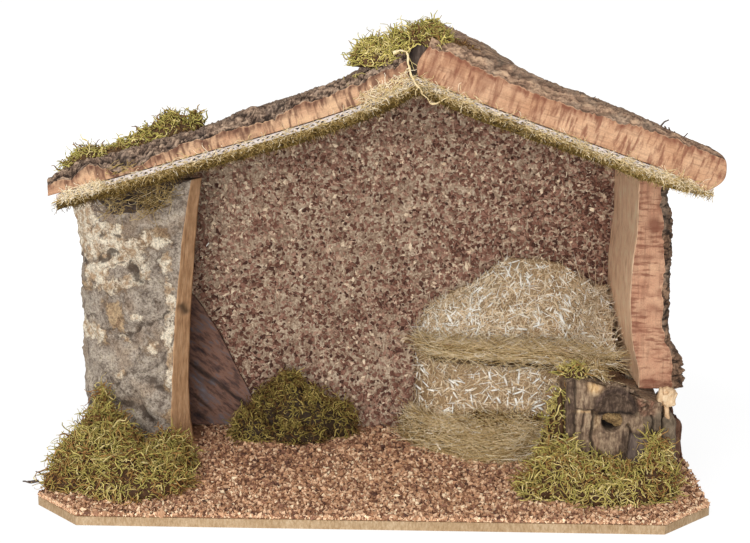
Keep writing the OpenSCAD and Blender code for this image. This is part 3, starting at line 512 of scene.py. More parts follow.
def fibres(name, stops, roughness=0.75, root=0.45, specular=0.25):
    """Dried plant strands: each has its own tone, darker near its root where the light is lost."""
    material, tree, place = new_tree(name)
    tint, tip = (add(tree, "Attribute", attribute_name=mark) for mark in ("tint", "tip"))
    mottle = add(tree, "TexNoise", {"Vector": place, "Scale": per(2.5), "Detail": 2.0})
    spread = add(tree, "Math", {0: mottle, 1: 0.24, 2: tint}, operation="MULTIPLY_ADD")
    centred = add(tree, "Math", {0: spread, 1: 0.12}, operation="SUBTRACT")
    colour = add(tree, "ValToRGB", {"Fac": centred}, stops)
    shade = add(tree, "MapRange", {0: tip, 3: root, 4: 1.0})
    colour = add(tree, "Mix", {0: 1.0, 6: colour, 7: shade}, **SHADE)
    close_tree(tree, colour, roughness, mottle, 0.15, specular)
    return material


def litter(name, stops, stretch, size):
    """Matted core under the strands: crushed plant matter, streaked two ways, darker in its gaps."""
    material, tree, place = new_tree(name)
    ways = []
    for turn in ((0, 0.5, 0.3), (0.2, -0.9, 0.4)):
        drawn = add(tree, "Mapping", {"Vector": place, "Scale": stretch, "Rotation": turn})
        streaks = {"Vector": drawn, "Scale": per(size), "Detail": 3.0, "Roughness": 0.6}
        ways.append(add(tree, "TexNoise", streaks))
    larger = add(tree, "Math", {0: ways[0], 1: ways[1]}, operation="MAXIMUM")
    close_tree(tree, add(tree, "ValToRGB", {"Fac": larger}, stops), 0.9, larger, 0.9, 0.15)
    return material


def lichen_bark():
    """Old bark with crusts of lichen: grey plates with fine grain, cracks painted brown as painted shade, and
    cream and ochre crusts with ragged rims, ringed by a dark painted shadow."""
    material, tree, place = new_tree("grey bark with lichen")
    crack, cream, ochre = (add(tree, "Attribute", attribute_name=mark)
                           for mark in ("crack", "cream", "ochre"))
    coarse, fine, ragged, wide, soiled = (
        add(tree, "TexNoise", {"Vector": place, "Scale": per(size), "Detail": detail, "Roughness": rough})
        for size, detail, rough in ((10, 8.0, 0.7), (1.6, 5.0, 0.75), (6, 8.0, 0.78), (24, 3.0, 0.5),
                                    (7, 6.0, 0.7)))
    grey = add(tree, "ValToRGB", {"Fac": coarse},
               [(0.36, "#74655A"), (0.45, "#A89A8B"), (0.56, "#CABCAB"), (0.68, "#B8A992")])
    grain = add(tree, "ValToRGB", {"Fac": fine}, [(0.34, "#74675D"), (0.56, "#FFFFFF")])
    colour = add(tree, "Mix", {0: 0.9, 6: grey, 7: grain}, **SHADE)
    for source, start, end, share, tone in ((wide, 0.5, 0.62, 0.5, "#A98F76"),
                                            (ragged, 0.55, 0.63, 0.6, "#DCCBB0"),
                                            (ragged, 0.46, 0.38, 0.55, "#6E5B4C")):
        fleck = add(tree, "Mix", {0: 0.6, 6: tone, 7: grain}, **SHADE)
        colour = coat(tree, colour, fleck, source, start, end, share)
    # each crust ends where its mark and the ragged noise, stretched round 0, fall short together
    rough = add(tree, "Math", {0: ragged, 1: 3.0, 2: -1.5}, operation="MULTIPLY_ADD")
    for mark, dull, tone in ((ochre, "#94765A", "#CDB08A"), (cream, "#C0A281", "#FBEED6")):
        edge = add(tree, "Math", {0: mark, 1: rough}, operation="ADD")
        # A dark rim round each crust: painted shadow under its edge.
        colour = coat(tree, colour, "#5F4C3E", edge, 0.25, 0.55, 0.55)
        faded = add(tree, "ValToRGB", {"Fac": soiled}, [(0.42, dull), (0.56, tone)])
        crust = add(tree, "Mix", {0: 0.8, 6: faded, 7: grain}, **SHADE)
        colour = coat(tree, colour, crust, edge, 0.5, 0.72, 0.92)
    # Cracks, and the band under the mat that shares their mark, darkened to brown: painted shade.
    broken = add(tree, "Math", {0: crack, 1: rough}, operation="ADD")
    colour = coat(tree, colour, "#4A3D34", broken, 0.3, 0.75, 0.85)
    height = add(tree, "Math", {0: fine, 1: 0.4, 2: coarse}, operation="MULTIPLY_ADD")
    close_tree(tree, colour, 0.92, height, 1.8, 0.2)
    return material


def zoned_bark():
    """Broken stump bark: brown vertical grain, with zones of dark fibre, tan broken wood, rust-red inner bark
    and grey weathered wood; painted shade darkens parts of the dark zone and makes hollow and cracks nearly
    black."""
    material, tree, place = new_tree("weathered stump bark")
    drawn = add(tree, "Mapping", {"Vector": place, "Scale": (1, 1, 0.16)})
    grain = add(tree, "TexNoise", {"Vector": drawn, "Scale": per(1.8), "Detail": 6.0, "Roughness": 0.65})
    lump = add(tree, "TexNoise", {"Vector": place, "Scale": per(3.2), "Detail": 6.0, "Roughness": 0.7})
    both = add(tree, "Math", {0: lump, 1: 0.6, 2: grain}, operation="MULTIPLY_ADD")
    value = add(tree, "Math", {0: both, 1: 0.625}, operation="MULTIPLY")
    colour = add(tree, "ValToRGB", {"Fac": value},
                 [(0.3, "#3A2C25"), (0.46, "#76604E"), (0.58, "#A18A70"), (0.72, "#C0AA8C")])
    for zone, dark, mid, pale in (("grey", "#3D332A", "#70604F", "#94826D"),
                                  ("rust", "#4A2A20", "#9A6650", "#C79B80"),
                                  ("tan", "#9A7448", "#CDA878", "#E8CFA4"),
                                  ("dark", "#1E1612", "#46372E", "#80695A")):
        share = add(tree, "Attribute", attribute_name=zone)
        tone = add(tree, "ValToRGB", {"Fac": value}, [(0.3, dark), (0.5, mid), (0.7, pale)])
        colour = add(tree, "Mix", {0: share, 6: colour, 7: tone}, **BLEND)
    # Nearly black where the mark of cracks and shade is: painted shade in the hollow, cracks and under the
    # lip.
    crack = add(tree, "Attribute", attribute_name="crack")
    colour = add(tree, "Mix", {0: crack, 6: colour, 7: "#17110E"}, **BLEND)
    close_tree(tree, colour, 0.9, value, 1.0, 0.2)
    return material


def streaked(name, stops, stretch, tilt=0, size=2.2, depth=0.6):
    """Wood or bark with its grain one way: long streaks from dark to pale, with the relief of the grain. tilt
    turns the streaks in the plane of the front."""
    material, tree, place = new_tree(name)
    turned = add(tree, "Mapping", {"Vector": place, "Rotation": (0, tilt, 0)})
    drawn = add(tree, "Mapping", {"Vector": turned, "Scale": stretch})
    grain = add(tree, "TexNoise", {"Vector": drawn, "Scale": per(size), "Detail": 6.0, "Roughness": 0.62})
    cloud = add(tree, "TexNoise", {"Vector": turned, "Scale": per(size * 6), "Detail": 3.0})
    both = add(tree, "Math", {0: cloud, 1: 0.5, 2: grain}, operation="MULTIPLY_ADD")
    scaled = add(tree, "Math", {0: both, 1: 0.667}, operation="MULTIPLY")
    colour = add(tree, "ValToRGB", {"Fac": scaled}, stops)
    # Darkened towards nearly black by the mark that darkens cracks and shade: painted shade in cracks,
    # grooves and hollows.
    crack = add(tree, "Attribute", attribute_name="crack")
    colour = add(tree, "Mix", {0: crack, 6: colour, 7: "#1E1815"}, **BLEND)
    close_tree(tree, colour, 0.85, grain, depth, 0.25)
    return material


def liner_paper():
    """Corrugated board: soft grey-white paper with faint fibre, matt."""
    material, tree, place = new_tree("corrugated board paper")
    pulp = add(tree, "TexNoise", {"Vector": place, "Scale": per(1.5), "Detail": 4.0, "Roughness": 0.7})
    colour = add(tree, "ValToRGB", {"Fac": pulp}, [(0.3, "#AFA5A1"), (0.6, "#D8CEC8")])
    close_tree(tree, colour, 0.8, pulp, 0.12)
    return material


def pin_steel():
    """Bright steel wire: silvery, with a slight draw-bench grain."""
    material, tree, place = new_tree("drawn steel")
    grain = add(tree, "TexNoise", {"Vector": place, "Scale": per(0.4), "Detail": 2.0})
    rough = add(tree, "MapRange", {0: grain, 3: 0.25, 4: 0.4})
    surface = add(tree, "BsdfPrincipled", {"Base Color": "#C5C6C8", "Metallic": 1.0, "Roughness": rough})
    add(tree, "OutputMaterial", {"Surface": surface})
    return material


LEFT_SLOPE = math.atan2(RIDGE[1] - LEFT_EAVE[1] - LEFT_LIFT, RIDGE[0] - LEFT_EAVE[0])
RIGHT_SLOPE = -math.atan2(RIDGE[1] - RIGHT_EAVE[1] - RIGHT_LIFT, RIGHT_EAVE[0] - RIDGE[0])

BOARD = hardboard()
FLOOR_CRUMBS = cork_crumbs("ground cork on the floor", [
    (0.02, "#53372D"), (0.25, "#936851"), (0.48, "#C89974"), (0.72, "#EAC39F"), (0.98, "#FFE8C3")])
FLOOR_BED = glue_bed("cork dust on the floor", [(0.25, "#6A4838"), (0.5, "#94684C"), (0.75, "#B98A66")], 2.5)
WALL_CRUMBS = cork_crumbs("ground cork on the wall", [
    (0.02, "#51342B"), (0.28, "#765041"), (0.5, "#936B5A"), (0.7, "#B3907B"), (0.85, "#CDB097"),
    (0.98, "#EBD5B7")])
WALL_BED = glue_bed("cork dust on the wall", [(0.25, "#725746"), (0.5, "#9F8670"), (0.75, "#CDB89F")],
                    1.2, 0.7)
LEFT_CUT = sawn_cork("sawn cork of the left roof", "#D1AA86", "#B98D6E", "#604032", LEFT_SLOPE)
RIGHT_CUT = sawn_cork("sawn cork of the right roof", "#CEA583", "#BA8C6B", "#7B4D3A", RIGHT_SLOPE)
WALL_CUT = sawn_cork("sawn cork of the right wall", "#CEA383", "#BA886C", "#7C4D3B", math.pi / 2)
LEFT_BARK = cork_bark("bark of the left roof", "#2E221B", "#6F584A", "#B0967F", "#8C8076",
                      (0.35, 1, 1), 2.6, 0.28)
RIGHT_BARK = cork_bark("bark of the right roof", "#553F32", "#957560", "#BF9F82", "#9C8B79",
                       (0.2, 1, 1), 3.6, 0.45, 0.5)
WALL_BARK = cork_bark("bark of the right wall", "#2E211A", "#684E3D", "#967860", "#7E776B",
                      (1, 1, 0.5), 4, 0.35)
LICHEN = lichen_bark()
STUMP = zoned_bark()
BELLY = streaked("smooth belly of cork", [(0.3, "#C69A78"), (0.5, "#F8CEA9"), (0.7, "#FFF0CE")], (1, 1, 0.18))
CUT_END = streaked("sawn end of thick bark", [(0.28, "#9D734E"), (0.5, "#CBA078"), (0.72, "#E8C29A")],
                   (1, 0.5, 0.12), size=1.4)
# Dark inner bark whose pale blue-grey streaks stand in for its sheen: painted sheen.
CORNER = streaked("dark inner bark", [(0.36, "#3C3031"), (0.45, "#60473E"), (0.52, "#825F4F"),
                                      (0.58, "#6C5B58"), (0.68, "#777075")], (0.3, 1, 1), -0.72, 3.4, 1.0)
DARK_BARK = streaked("dark root bark", [(0.3, "#2A221F"), (0.5, "#55473F"), (0.7, "#7C6C60")], (1, 1, 0.2))
GREY_BARK = streaked("grey crumbling bark", [(0.34, "#40352B"), (0.5, "#6E5F4E"), (0.66, "#95836D")],
                     (1, 1, 0.4), size=2.6)
RED_BARK = streaked("broken red bark", [(0.3, "#3A271F"), (0.5, "#6A4C3D"), (0.72, "#94705A")], (1, 1, 0.5))
PALE_WOOD = streaked("split pale wood", [(0.34, "#9C7654"), (0.5, "#CBA983"), (0.66, "#E6CCA8")], (1, 1, 0.3))
TONGUE = streaked("ochre wood", [(0.34, "#54402A"), (0.5, "#8C7049"), (0.66, "#C4A678")], (0.6, 1, 1),
                  size=1.0, depth=1.5)
ROOT_WOOD = streaked("dry rootlet", [(0.3, "#B99A6A"), (0.5, "#DCC596"), (0.7, "#EFE0BC")], (1, 1, 0.4))
TWIG = streaked("dark twig", [(0.3, "#413630"), (0.6, "#806A5A")], (1, 1, 0.5))
MOSS = fibres("dried moss", [(0.0, "#5E3F24"), (0.15, "#9A6B3F"), (0.32, "#BA8F52"), (0.5, "#AFA357"),
                             (0.68, "#CDBD69"), (0.84, "#ECD58C"), (1.0, "#FFF4C8")])
# A lighter copy of the dried moss, for the moss on top of the roof: painted light.
BRIGHT_MOSS = fibres("lit dried moss", [(0.0, "#705032"), (0.2, "#A37C46"), (0.4, "#A99F55"),
                                          (0.6, "#C7BA61"), (0.8, "#E8D381"), (1.0, "#FFEDC5")])
SHADED_MOSS = fibres("shaded dried moss", [(0.0, "#402D18"), (0.25, "#79552D"), (0.5, "#938041"),
                                           (0.75, "#B7A456"), (1.0, "#E5C67E")])
MOSS_CORE = litter("matted moss", [(0.42, "#332512"), (0.56, "#664E26"), (0.72, "#8A7139")], (1, 1, 0.4), 2.2)
HAY = fibres("dry straw", [(0.0, "#A28560"), (0.3, "#D2B58F"), (0.55, "#EAD5B4"), (0.78, "#F7EBD6"),
                           (1.0, "#FFFDF6")], 0.6, 0.8, 0.35)
HAY_CORE = litter("pressed hay", [(0.42, "#A98866"), (0.56, "#D9BB96"), (0.72, "#F2DFC0")], (0.15, 1, 1), 1.1)
FINE_HAY = fibres("fine hay", [(0.0, "#8A7042"), (0.25, "#B89A66"), (0.5, "#E2C898"), (0.75, "#F4E2BE"),
                               (1.0, "#FFF6E6")], 0.65, 0.8)
# Olive fibre of the mats, from its dark end below to its pale end on top: painted shade and light.
MAT_FIBRE = fibres("olive plant fibre", [(0.0, "#37250E"), (0.3, "#775C2A"), (0.55, "#AF9255"),
                                         (0.8, "#DFC48B"), (1.0, "#FFF0D4")], 0.7, 0.9)
# Core of the mats: olive fibre, made dark as painted shade under the roof.
MAT_CORE = litter("olive fibre mat", [(0.42, "#31250F"), (0.56, "#675426"), (0.72, "#9B8348")],
                  (0.2, 1, 1), 1.0)
PAPER = liner_paper()
STEEL = pin_steel()


# Roof slabs
# Where each slab starts and ends in x
LEFT_SLAB = (-207, 25)
RIGHT_SLAB = (30.2, 224)
# Height of the sawn face above the underside at places across each slab. The left slab is broken
# away between -166 and -140.
LEFT_CUT_AT = ([-207, -198, -192, -184, -179, -174, -171, -167, -163, -144, -139, -128,
                -113, -103, -92, -79, -61, -55, -47, -29, -13, 6, 19, 25],
               [7, 7.5, 7, 10, 11, 9, 7, 6, 2, 2, 5, 8, 9, 8, 10, 8, 8, 9, 11.5, 12.5, 12.5, 13.5, 12, 12])
RIGHT_CUT_AT = ([30, 44, 60, 80, 98, 120, 139, 165, 192, 210, 224],
                [18, 19.5, 18.5, 17.5, 16, 17, 17.5, 18.5, 20, 20, 19])


def swell(a, b):
    """Slow relief of both slabs, from -1 to 1: three sines that cross at a slant."""
    return (0.5 * np.sin(np.radians(a * 61 + b * 23)) + 0.3 * np.sin(np.radians(a * 113 - b * 71 + 40))
            + 0.2 * np.sin(np.radians(a * 197 + b * 149 + 90)))


def slab_top(x, y, front_t, back_t, relief):
    """Top of a slab: its thickness goes evenly from the front to the back, with slow relief of 0.9 mm."""
    back = (y - ROOF_FRONT) / (BACK_Y - ROOF_FRONT)
    return roof_line(x) + front_t + (back_t - front_t) * back + 0.9 * relief


def left_top(x, y):
    """Top of the left slab: thicker by soft steps towards the ridge, and thinner at the back."""
    front_t = 11 + 3 * ease(-207, -190, x) + 3 * ease(-98, -76, x)
    back_t = 5 + 3.4 * ease(-207, -150, x) + 3.6 * ease(-118, -100, x) + 4.5 * ease(-45, -10, x)
    return slab_top(x, y, front_t, back_t, swell(x / 9, y / 14))


def right_top(x, y):
    """Top of the right slab: thickest beside the ridge, most of all at the back."""
    front_t = 22 + 5 * ease(30, 60, x) - 2.5 * ease(80, 115, x)
    back_t = 33 - 10 * ease(66, 108, x) - 2 * ease(180, 224, x)
    return slab_top(x, y, front_t, back_t, swell(x / 8 + 5, y / 15))


def plates(x, s, size, seed):
    """Relief of bark: noise whose zero lines are crevices, coarse and fine. Returns height and crevice."""
    coarse = layered(x, s, 0, size, seed, 3)
    fine = layered(x, s, 0, np.multiply(size, 0.38), seed + 3, 2)
    gap = np.maximum(np.exp(-(coarse / 0.17) ** 2), 0.65 * np.exp(-(fine / 0.2) ** 2))
    return 0.8 * np.abs(coarse) + 0.45 * np.abs(fine) - 0.7 * gap, gap


def bark_marks(bump, gap, before, after):
    """Marks of a stretch of bark: how high it stands and its crevices, which its material paints as light and
    shade.
    """
    return {"gap": padded(gap, before, after), "high": padded(np.clip(0.5 + 0.4 * bump, 0, 1), before, after)}


def slab(x_range, top, cut_at, shift, seed, rough, size, steep, burnt=0.0, counts=(360, 82)):
    """Cork slab as rings along x. Each ring goes up the sawn front, over the bark to the back, down the
    sawn back and forward under it. The bark starts at the ragged upper edge of the saw cut, climbs steeply
    to the full thickness and carries plates and crevices. The ends shrink in, uneven. burnt darkens the
    sawn face beside the ridge, in streaks."""
    stations, deep = counts
    face, behind, below = 14, 9, 6
    x = column(stations, *x_range)
    low = roof_line(x)
    full = top(x, ROOF_FRONT) - low
    ragged = 1.1 * layered(x, 0, 0, (6, 1, 1), seed + 1, 3) + 0.5 * noise(x, 0, 0, 1.5, seed + 2)
    cut = np.clip(np.interp(x, *cut_at) + ragged, 1.0, full - 1.0)
    front_z = low + cut * row(face)
    front_y = ROOF_FRONT + 0.3 * noise(x, 0, front_z, (3, 1, 2), seed + 3)
    top_y = ROOF_FRONT + (BACK_Y - ROOF_FRONT) * row(deep + 1)[:, 1:] ** 1.6
    climb = ease(-0.15, 1, (top_y - ROOF_FRONT) / (1.5 + steep * (full - cut)))
    along = (top_y - ROOF_FRONT) + climb * (full - cut)
    bump, gap = plates(x, along, size, seed)
    top_z = low + cut + (top(x, top_y) - low - cut) * climb
    top_z = top_z + rough * bump * (0.25 + 0.75 * climb) * ease(-4, 3, along)
    top_y = top_y - 0.9 * rough * bump * ease(0, 3, along) * (1 - ease(6, 14, along))
    last = top_z[:, -1:]
    back_z = last + (low - last) * row(behind + 1)[:, 1:]
    under_y = BACK_Y + (ROOF_FRONT - BACK_Y) * row(below + 2)[:, 1:-1]
    rings = rings_of((x, front_y, front_z), (x, top_y, top_z), (x, BACK_Y, back_z), (x, under_y, low))
    share = np.clip((rings[..., 2] - low) / np.maximum(full, 1), 0, 1.1)
    rings[..., 0] = shift(rings[..., 0], share)
    blotch = 0.75 + 0.6 * layered(x, 0, front_z, (2, 1, 5), seed + 6, 3)
    streak = np.clip(0.55 + 0.7 * layered(x, 0, front_z, (2.5, 1, 16), seed + 7, 3), 0, 1)
    stain = np.maximum(ease(-5.5, 0.0, front_z - low - cut) * blotch, burnt * streak * (1 - ease(80, 130, x)))
    marks = bark_marks(bump, gap, face, behind + below)
    marks["stain"] = padded(np.clip(stain, 0, 1), 0, deep + behind + below)
    ends = []
    for station, side in ((0, -1), (-1, 1)):
        middle = rings[station].mean(0)
        for scale in (0.97, 0.8, 0.45, 0.1):
            ring = middle + (rings[station] - middle) * scale
            dent = 0.8 * noise(0, ring[:, 1], ring[:, 2], 5, seed + 9)
            push = 0.6 * (1 - scale) + dent[:, None] * (1 - scale ** 4)
            ends.append(ring + np.array([side, 0, 0]) * push)
    rings = np.concatenate([ends[3::-1], rings, ends[4:]])
    marks = {k: np.pad(m, ((4, 4), (0, 0)), mode="edge") for k, m in marks.items()}
    return loft(rings, np.repeat([0, 1, 0, 0], [face, deep, behind, below]), **marks)


def left_shift(x, share):
    """The right end of the left slab leans back a little from the ridge."""
    return x - 3 * share * ease(12, 25, x)


def right_shift(x, share):
    """The left end of the right slab leans over, and its right end is rounded off."""
    u = (x - RIGHT_SLAB[0]) / (RIGHT_SLAB[1] - RIGHT_SLAB[0])
    lean = (1 - u) * 8 * share - 3.0 * (1 - ease(0, 0.03, u)) * np.sin(np.pi * np.clip(share * 1.3, 0, 1))
    return x + lean - ease(0.75, 1, u) * 9 * np.abs(2 * share - 1.1) ** 3


piece("left_roof_bark_slab", slab(LEFT_SLAB, left_top, LEFT_CUT_AT, left_shift, 11, 2.2, (7, 4, 1), 0.45),
      [LEFT_CUT, LEFT_BARK], ["left_roof_cork"])
piece("right_roof_bark_slab", slab(RIGHT_SLAB, right_top, RIGHT_CUT_AT, right_shift, 29, 1.3, (15, 5, 1), 0.7,
                                   0.5, (300, 74)),
      [RIGHT_CUT, RIGHT_BARK], ["right_roof_cork"])

for node, finish in (("base_board", BOARD), ("back_board", BOARD), ("wall_grit", WALL_BED),
                     ("roof_sheet", PAPER), ("base_pins", STEEL)):
    dress(node, finish)


def crushed_flutes():
    """Mouths of the flutes, which the saw crushed: in each cell a frame of pulp, from its outline in to the
    outline times a random share. The cells stand half a pitch apart, their wide side down and up in turn."""
    rng = np.random.default_rng(641)
    pitch, paper, liner = 6.3, 0.7, 0.5
    wide, narrow = (share * (pitch - 2 * paper) / 2 for share in (0.89, 0.11))
    i = np.arange(-72, 59)
    x, up = RIDGE[0] + i * pitch / 2, i % 2 == 0
    bottom, top = np.where(up, narrow, wide), np.where(up, wide, narrow)
    low, high = liner + paper * up, SHEET_T - liner - paper * ~up
    across = np.stack([x - bottom, x + bottom, x + top, x - top], 1)
    outline = np.stack([across, sheet_under(across) + np.stack([low, low, high, high], 1)], -1)
    middle = outline.mean(1, keepdims=True)
    share = rng.uniform(0.42, 0.74, (len(i), 1, 1)) + rng.uniform(-0.08, 0.08, (len(i), 4, 1))
    rims = [middle + (outline - middle) * s for s in (1.04, share, share, 1.04)]
    front = node_box("roof_sheet")[0][1]
    points = np.stack([np.stack([rim[..., 0], np.full_like(across, front + depth), rim[..., 1]], -1)
                       for rim, depth in zip(rims, (-0.1, 0.1, 1.8, 1.8))], 2)
    k, j = np.meshgrid(np.arange(4), np.arange(4), indexing="ij")
    k2, j2 = (k + 1) % 4, (j + 1) % 4
    a, b, c, d = 4 * k + j, 4 * k2 + j, 4 * k2 + j2, 4 * k + j2
    frame_faces = np.stack([a, b, c, a, c, d], -1).reshape(-1, 3)
    return form(points, frame_faces[None] + 16 * np.arange(len(i))[:, None, None])


piece("crushed_flute_mouths", crushed_flutes(), [PAPER], smooth=False)


# Grit on the floor and on the wall
def base_outline(inset, back):
    """Outline of the base, with its two front corners cut off."""
    x0, x1, y0 = BASE_LOW[0] + inset, BASE_HIGH[0] - inset, BASE_LOW[1] + inset
    cut = BASE_CHAMFER - 0.6 * inset
    return np.array([[x0, y0 + cut], [x0 + cut, y0], [x1 - cut, y0], [x1, y0 + cut], [x1, back], [x0, back]])


def inside(outline, x, y):
    """True where a point lies within a convex outline given anticlockwise."""
    result = np.ones(len(x), bool)
    for (ax, ay), (bx, by) in zip(outline, np.roll(outline, -1, axis=0)):
        result &= (bx - ax) * (y - ay) - (by - ay) * (x - ax) >= 0
    return result


def floor_grit():
    """Loose crumbs, about two deep, over the whole floor, few where other pieces cover them, crumbs along
    its rim, where the side of the layer is seen, and a bed of glue and dust under them."""
    rng = np.random.default_rng(101)
    count, rim_count = 27000, 2600
    on_board = BASE_HIGH[2] + 0.02
    x = rng.uniform(BASE_LOW[0], BASE_HIGH[0], count)
    y = rng.uniform(BASE_LOW[1], WALL_Y, count)
    keep = inside(base_outline(0.2, WALL_Y - 0.5), x, y)
    covered = ((x < -135) & (y > 40)) | ((x > 50) & (y > 52)) | ((x > 136) & (y > -30) & (x < 196))
    keep &= ~covered | (rng.uniform(size=count) < 0.08)
    x, y = x[keep], y[keep]
    size = rng.uniform(1.1, 2.15, len(x)) * np.where(rng.uniform(size=len(x)) < 0.12, 1.35, 1)
    z = FLOOR_Z - 2.1 + rng.uniform(0, 1.9, len(x)) + 0.25 * layered(x, y, 0, 30, 3, 2)
    tint = np.clip(rng.normal(0.5, 0.22, len(x)) + 0.07 * layered(x, y, 0, 25, 5), 0, 1)
    # The crumbs' tone falls towards the back and in a patch at the left middle, beside the moss and the left
    # wall, as painted shade, and rises in a band along the front as painted light.
    tint = tint - 0.08 * ease(-20, 70, y) - 0.11 * np.exp(-((x + 85) / 75) ** 2 - ((y - 10) / 32) ** 2)
    tint = tint + 0.05 * np.exp(-((x + 25) / 80) ** 2 - ((y + 68) / 16) ** 2)
    crumbs = granules(rng, np.column_stack([x, y, z]), size, tint)
    corners = base_outline(0.7, 0)[:4]
    step = rng.integers(0, 3, rim_count)
    share = rng.uniform(size=(rim_count, 1))
    rim = corners[step] + (corners[step + 1] - corners[step]) * share + rng.uniform(-0.3, 0.6, (rim_count, 2))
    rim = np.column_stack([rim, rng.uniform(BASE_HIGH[2] + 0.6, FLOOR_Z - 0.3, rim_count)])
    edge = granules(rng, rim, rng.uniform(0.8, 1.3, rim_count), tones(rng, (0.6, 0.22), rim_count))
    bed = prism(base_outline(1.4, AT_WALL), on_board, FLOOR_Z - 1.6, 1)
    return join(crumbs, keep_above(edge, on_board), bed)


piece("floor_cork_grit", floor_grit(), [FLOOR_CRUMBS, FLOOR_BED], ["floor_grit"], False)


# Y of the bits of straw that stick to the wall
STRAW_Y = 92.2


def wall_grit():
    """Dark crumbs on the back wall, few behind the hay, thinner over wide patches where the glue bed shows,
    and some bits of straw that stuck to it."""
    rng = np.random.default_rng(202)
    count = 34000
    x = rng.uniform(-146, 190, count)
    z = rng.uniform(FLOOR_Z, 285, count)
    keep = z < roof_line(x) - 12
    keep &= ~((x > 48) & (x < 160) & (z < 112) & (rng.uniform(size=count) < 0.9))
    bare = 0.5 + 0.6 * layered(x, 0, z, 55, 8, 3)
    bare = bare + 0.3 * np.exp(-((x + 40) / 60) ** 2 - ((z - 130) / 80) ** 2) - 0.3 * ease(60, 170, x)
    keep &= rng.uniform(size=count) > 0.62 * np.clip(bare, 0, 1)
    x, z = x[keep], z[keep]
    size = rng.uniform(1.3, 2.8, len(x))
    y = WALL_Y + 0.3 - rng.uniform(0.0, 0.9, len(x))
    # The crumbs' tone is lower towards the right, rises towards the top and the upper left as painted light,
    # and falls at the lower left as painted shadow.
    tint = np.clip(rng.normal(0.45, 0.27, len(x)) - 0.12 * ease(60, 170, x)
                   + 0.16 * ease(100, 180, z) * (1 - ease(-110, -50, x)) + 0.07 * ease(170, 230, z)
                   - 0.14 * (1 - ease(60, 110, z)) * (1 - ease(-90, -30, x)), 0, 1)
    crumbs = granules(rng, np.column_stack([x, y, z]), size, tint)
    # bits of straw: place on the wall (x, z), way (x, z), length and tone
    straw = np.array([(-62, 178, 1, 0.75, 9, 0.75), (-16, 240, 0.1, 1, 8, 0.8), (-133, 150, 0.5, 1, 4, 1),
                      (95, 190, 1, 0.3, 5, 0.6), (10, 90, 1, -0.4, 4, 0.7), (140, 205, 0.2, 1, 5, 0.6),
                      (-95, 215, 1, -0.2, 6, 0.5), (60, 160, 0.6, 0.8, 4, 0.7)], float)
    x, z, way_x, way_z, length, tone = straw.T
    roots = np.column_stack([x, np.full(len(x), STRAW_Y), z])
    ways = np.column_stack([way_x, np.zeros(len(x)), way_z])
    path = curls(rng, roots, ways, length, np.full(len(x), 0.15), 4)
    bits = tubes(rng, path, np.full((len(x), 4), 0.55), 4, 0.5, tint=tone[:, None], tip=1.0)
    bits["slots"] = np.full(len(bits["triangles"]), 1)
    return join(crumbs, bits)


piece("wall_cork_grit", wall_grit(), [WALL_CRUMBS, HAY], (), False)


# Left wall bark
# Its plan is the part of an ellipse that spans BARK_W in a turn of BARK_TURN degrees, and more at its head
BARK_W, BARK_HEAD_W, BARK_DEPTH, BARK_TURN = 76, 95, 75, 65
BARK_SPAN = BARK_W / (1 - math.cos(math.radians(BARK_TURN)))
BARK_X = node_box("left_wall_bark")[0][0] + BARK_SPAN
BARK_TOP_SPAN = math.acos((BARK_SPAN - BARK_HEAD_W) / BARK_SPAN)
# Cracks between the plates: places (x, z) along each, half width and depth
BARK_CRACKS = [
    ([(-232, 146), (-222, 142), (-206, 146), (-196, 152), (-189, 155)], 2.0, 2.6),
    ([(-206, 143), (-192, 146), (-179, 147), (-156, 157), (-143, 161)], 0.9, 1.4),
    ([(-182, 146), (-178, 140), (-175, 134)], 3.2, 3.4),
    ([(-232, 98), (-218, 99), (-208, 108), (-199, 117)], 1.1, 1.4),
    ([(-150, 116), (-157, 110), (-169, 101), (-184, 94), (-192, 86)], 1.7, 2.4),
    ([(-144, 98), (-152, 87), (-158, 78), (-167, 70), (-179, 63), (-198, 54)], 1.3, 2.0),
    ([(-226, 31), (-208, 37), (-194, 40), (-177, 38), (-166, 30)], 3.6, 3.4),
    ([(-232, 118), (-207, 128), (-195, 123), (-186, 117)], 1.0, 1.2),
    ([(-203, 94), (-193, 96)], 1.5, 2.2),
    ([(-218, 67), (-197, 76), (-182, 78)], 0.8, 0.8),
    ([(-197, 166), (-192, 172), (-185, 168)], 1.8, 2.2),
    ([(-214, 158), (-206, 164), (-203, 172)], 1.4, 1.6),
    ([(-172, 128), (-165, 120), (-168, 110)], 0.8, 0.9),
    ([(-150, 60), (-160, 54), (-172, 50)], 0.8, 1.0),
    ([(-174, 62), (-164, 58), (-154, 53)], 5.0, 2.6),
]
# Crusts of lichen: place (x, z), half width and half height
CREAM_CRUSTS = [(-222, 180, 15, 22), (-208, 182, 10, 14), (-206, 163, 12, 8), (-218, 164, 9, 9),
                (-188, 173, 6, 5), (-184, 160, 9, 8), (-178, 150, 14, 7), (-160, 166, 12, 6),
                (-199, 148, 12, 5), (-219, 94, 10, 9), (-210, 90, 8, 6), (-200, 130, 14, 6),
                (-207, 139, 8, 4), (-176, 105, 7, 4), (-163, 86, 4, 5), (-153, 67, 4, 6), (-152, 96, 8, 6),
                (-148, 80, 4, 14), (-149, 124, 5, 20), (-146, 52, 5, 12), (-150, 150, 5, 6),
                (-190, 62, 6, 3), (-178, 134, 7, 4), (-168, 140, 6, 4), (-186, 90, 8, 3)]
OCHRE_CRUSTS = [(-192, 104, 7, 10), (-172, 163, 15, 6), (-156, 171, 9, 6), (-214, 128, 9, 5),
                (-163, 87, 5, 7), (-208, 163, 13, 9), (-188, 130, 10, 5), (-204, 87, 7, 5),
                (-150, 36, 8, 5), (-196, 112, 6, 7), (-178, 150, 9, 5), (-155, 60, 4, 5)]


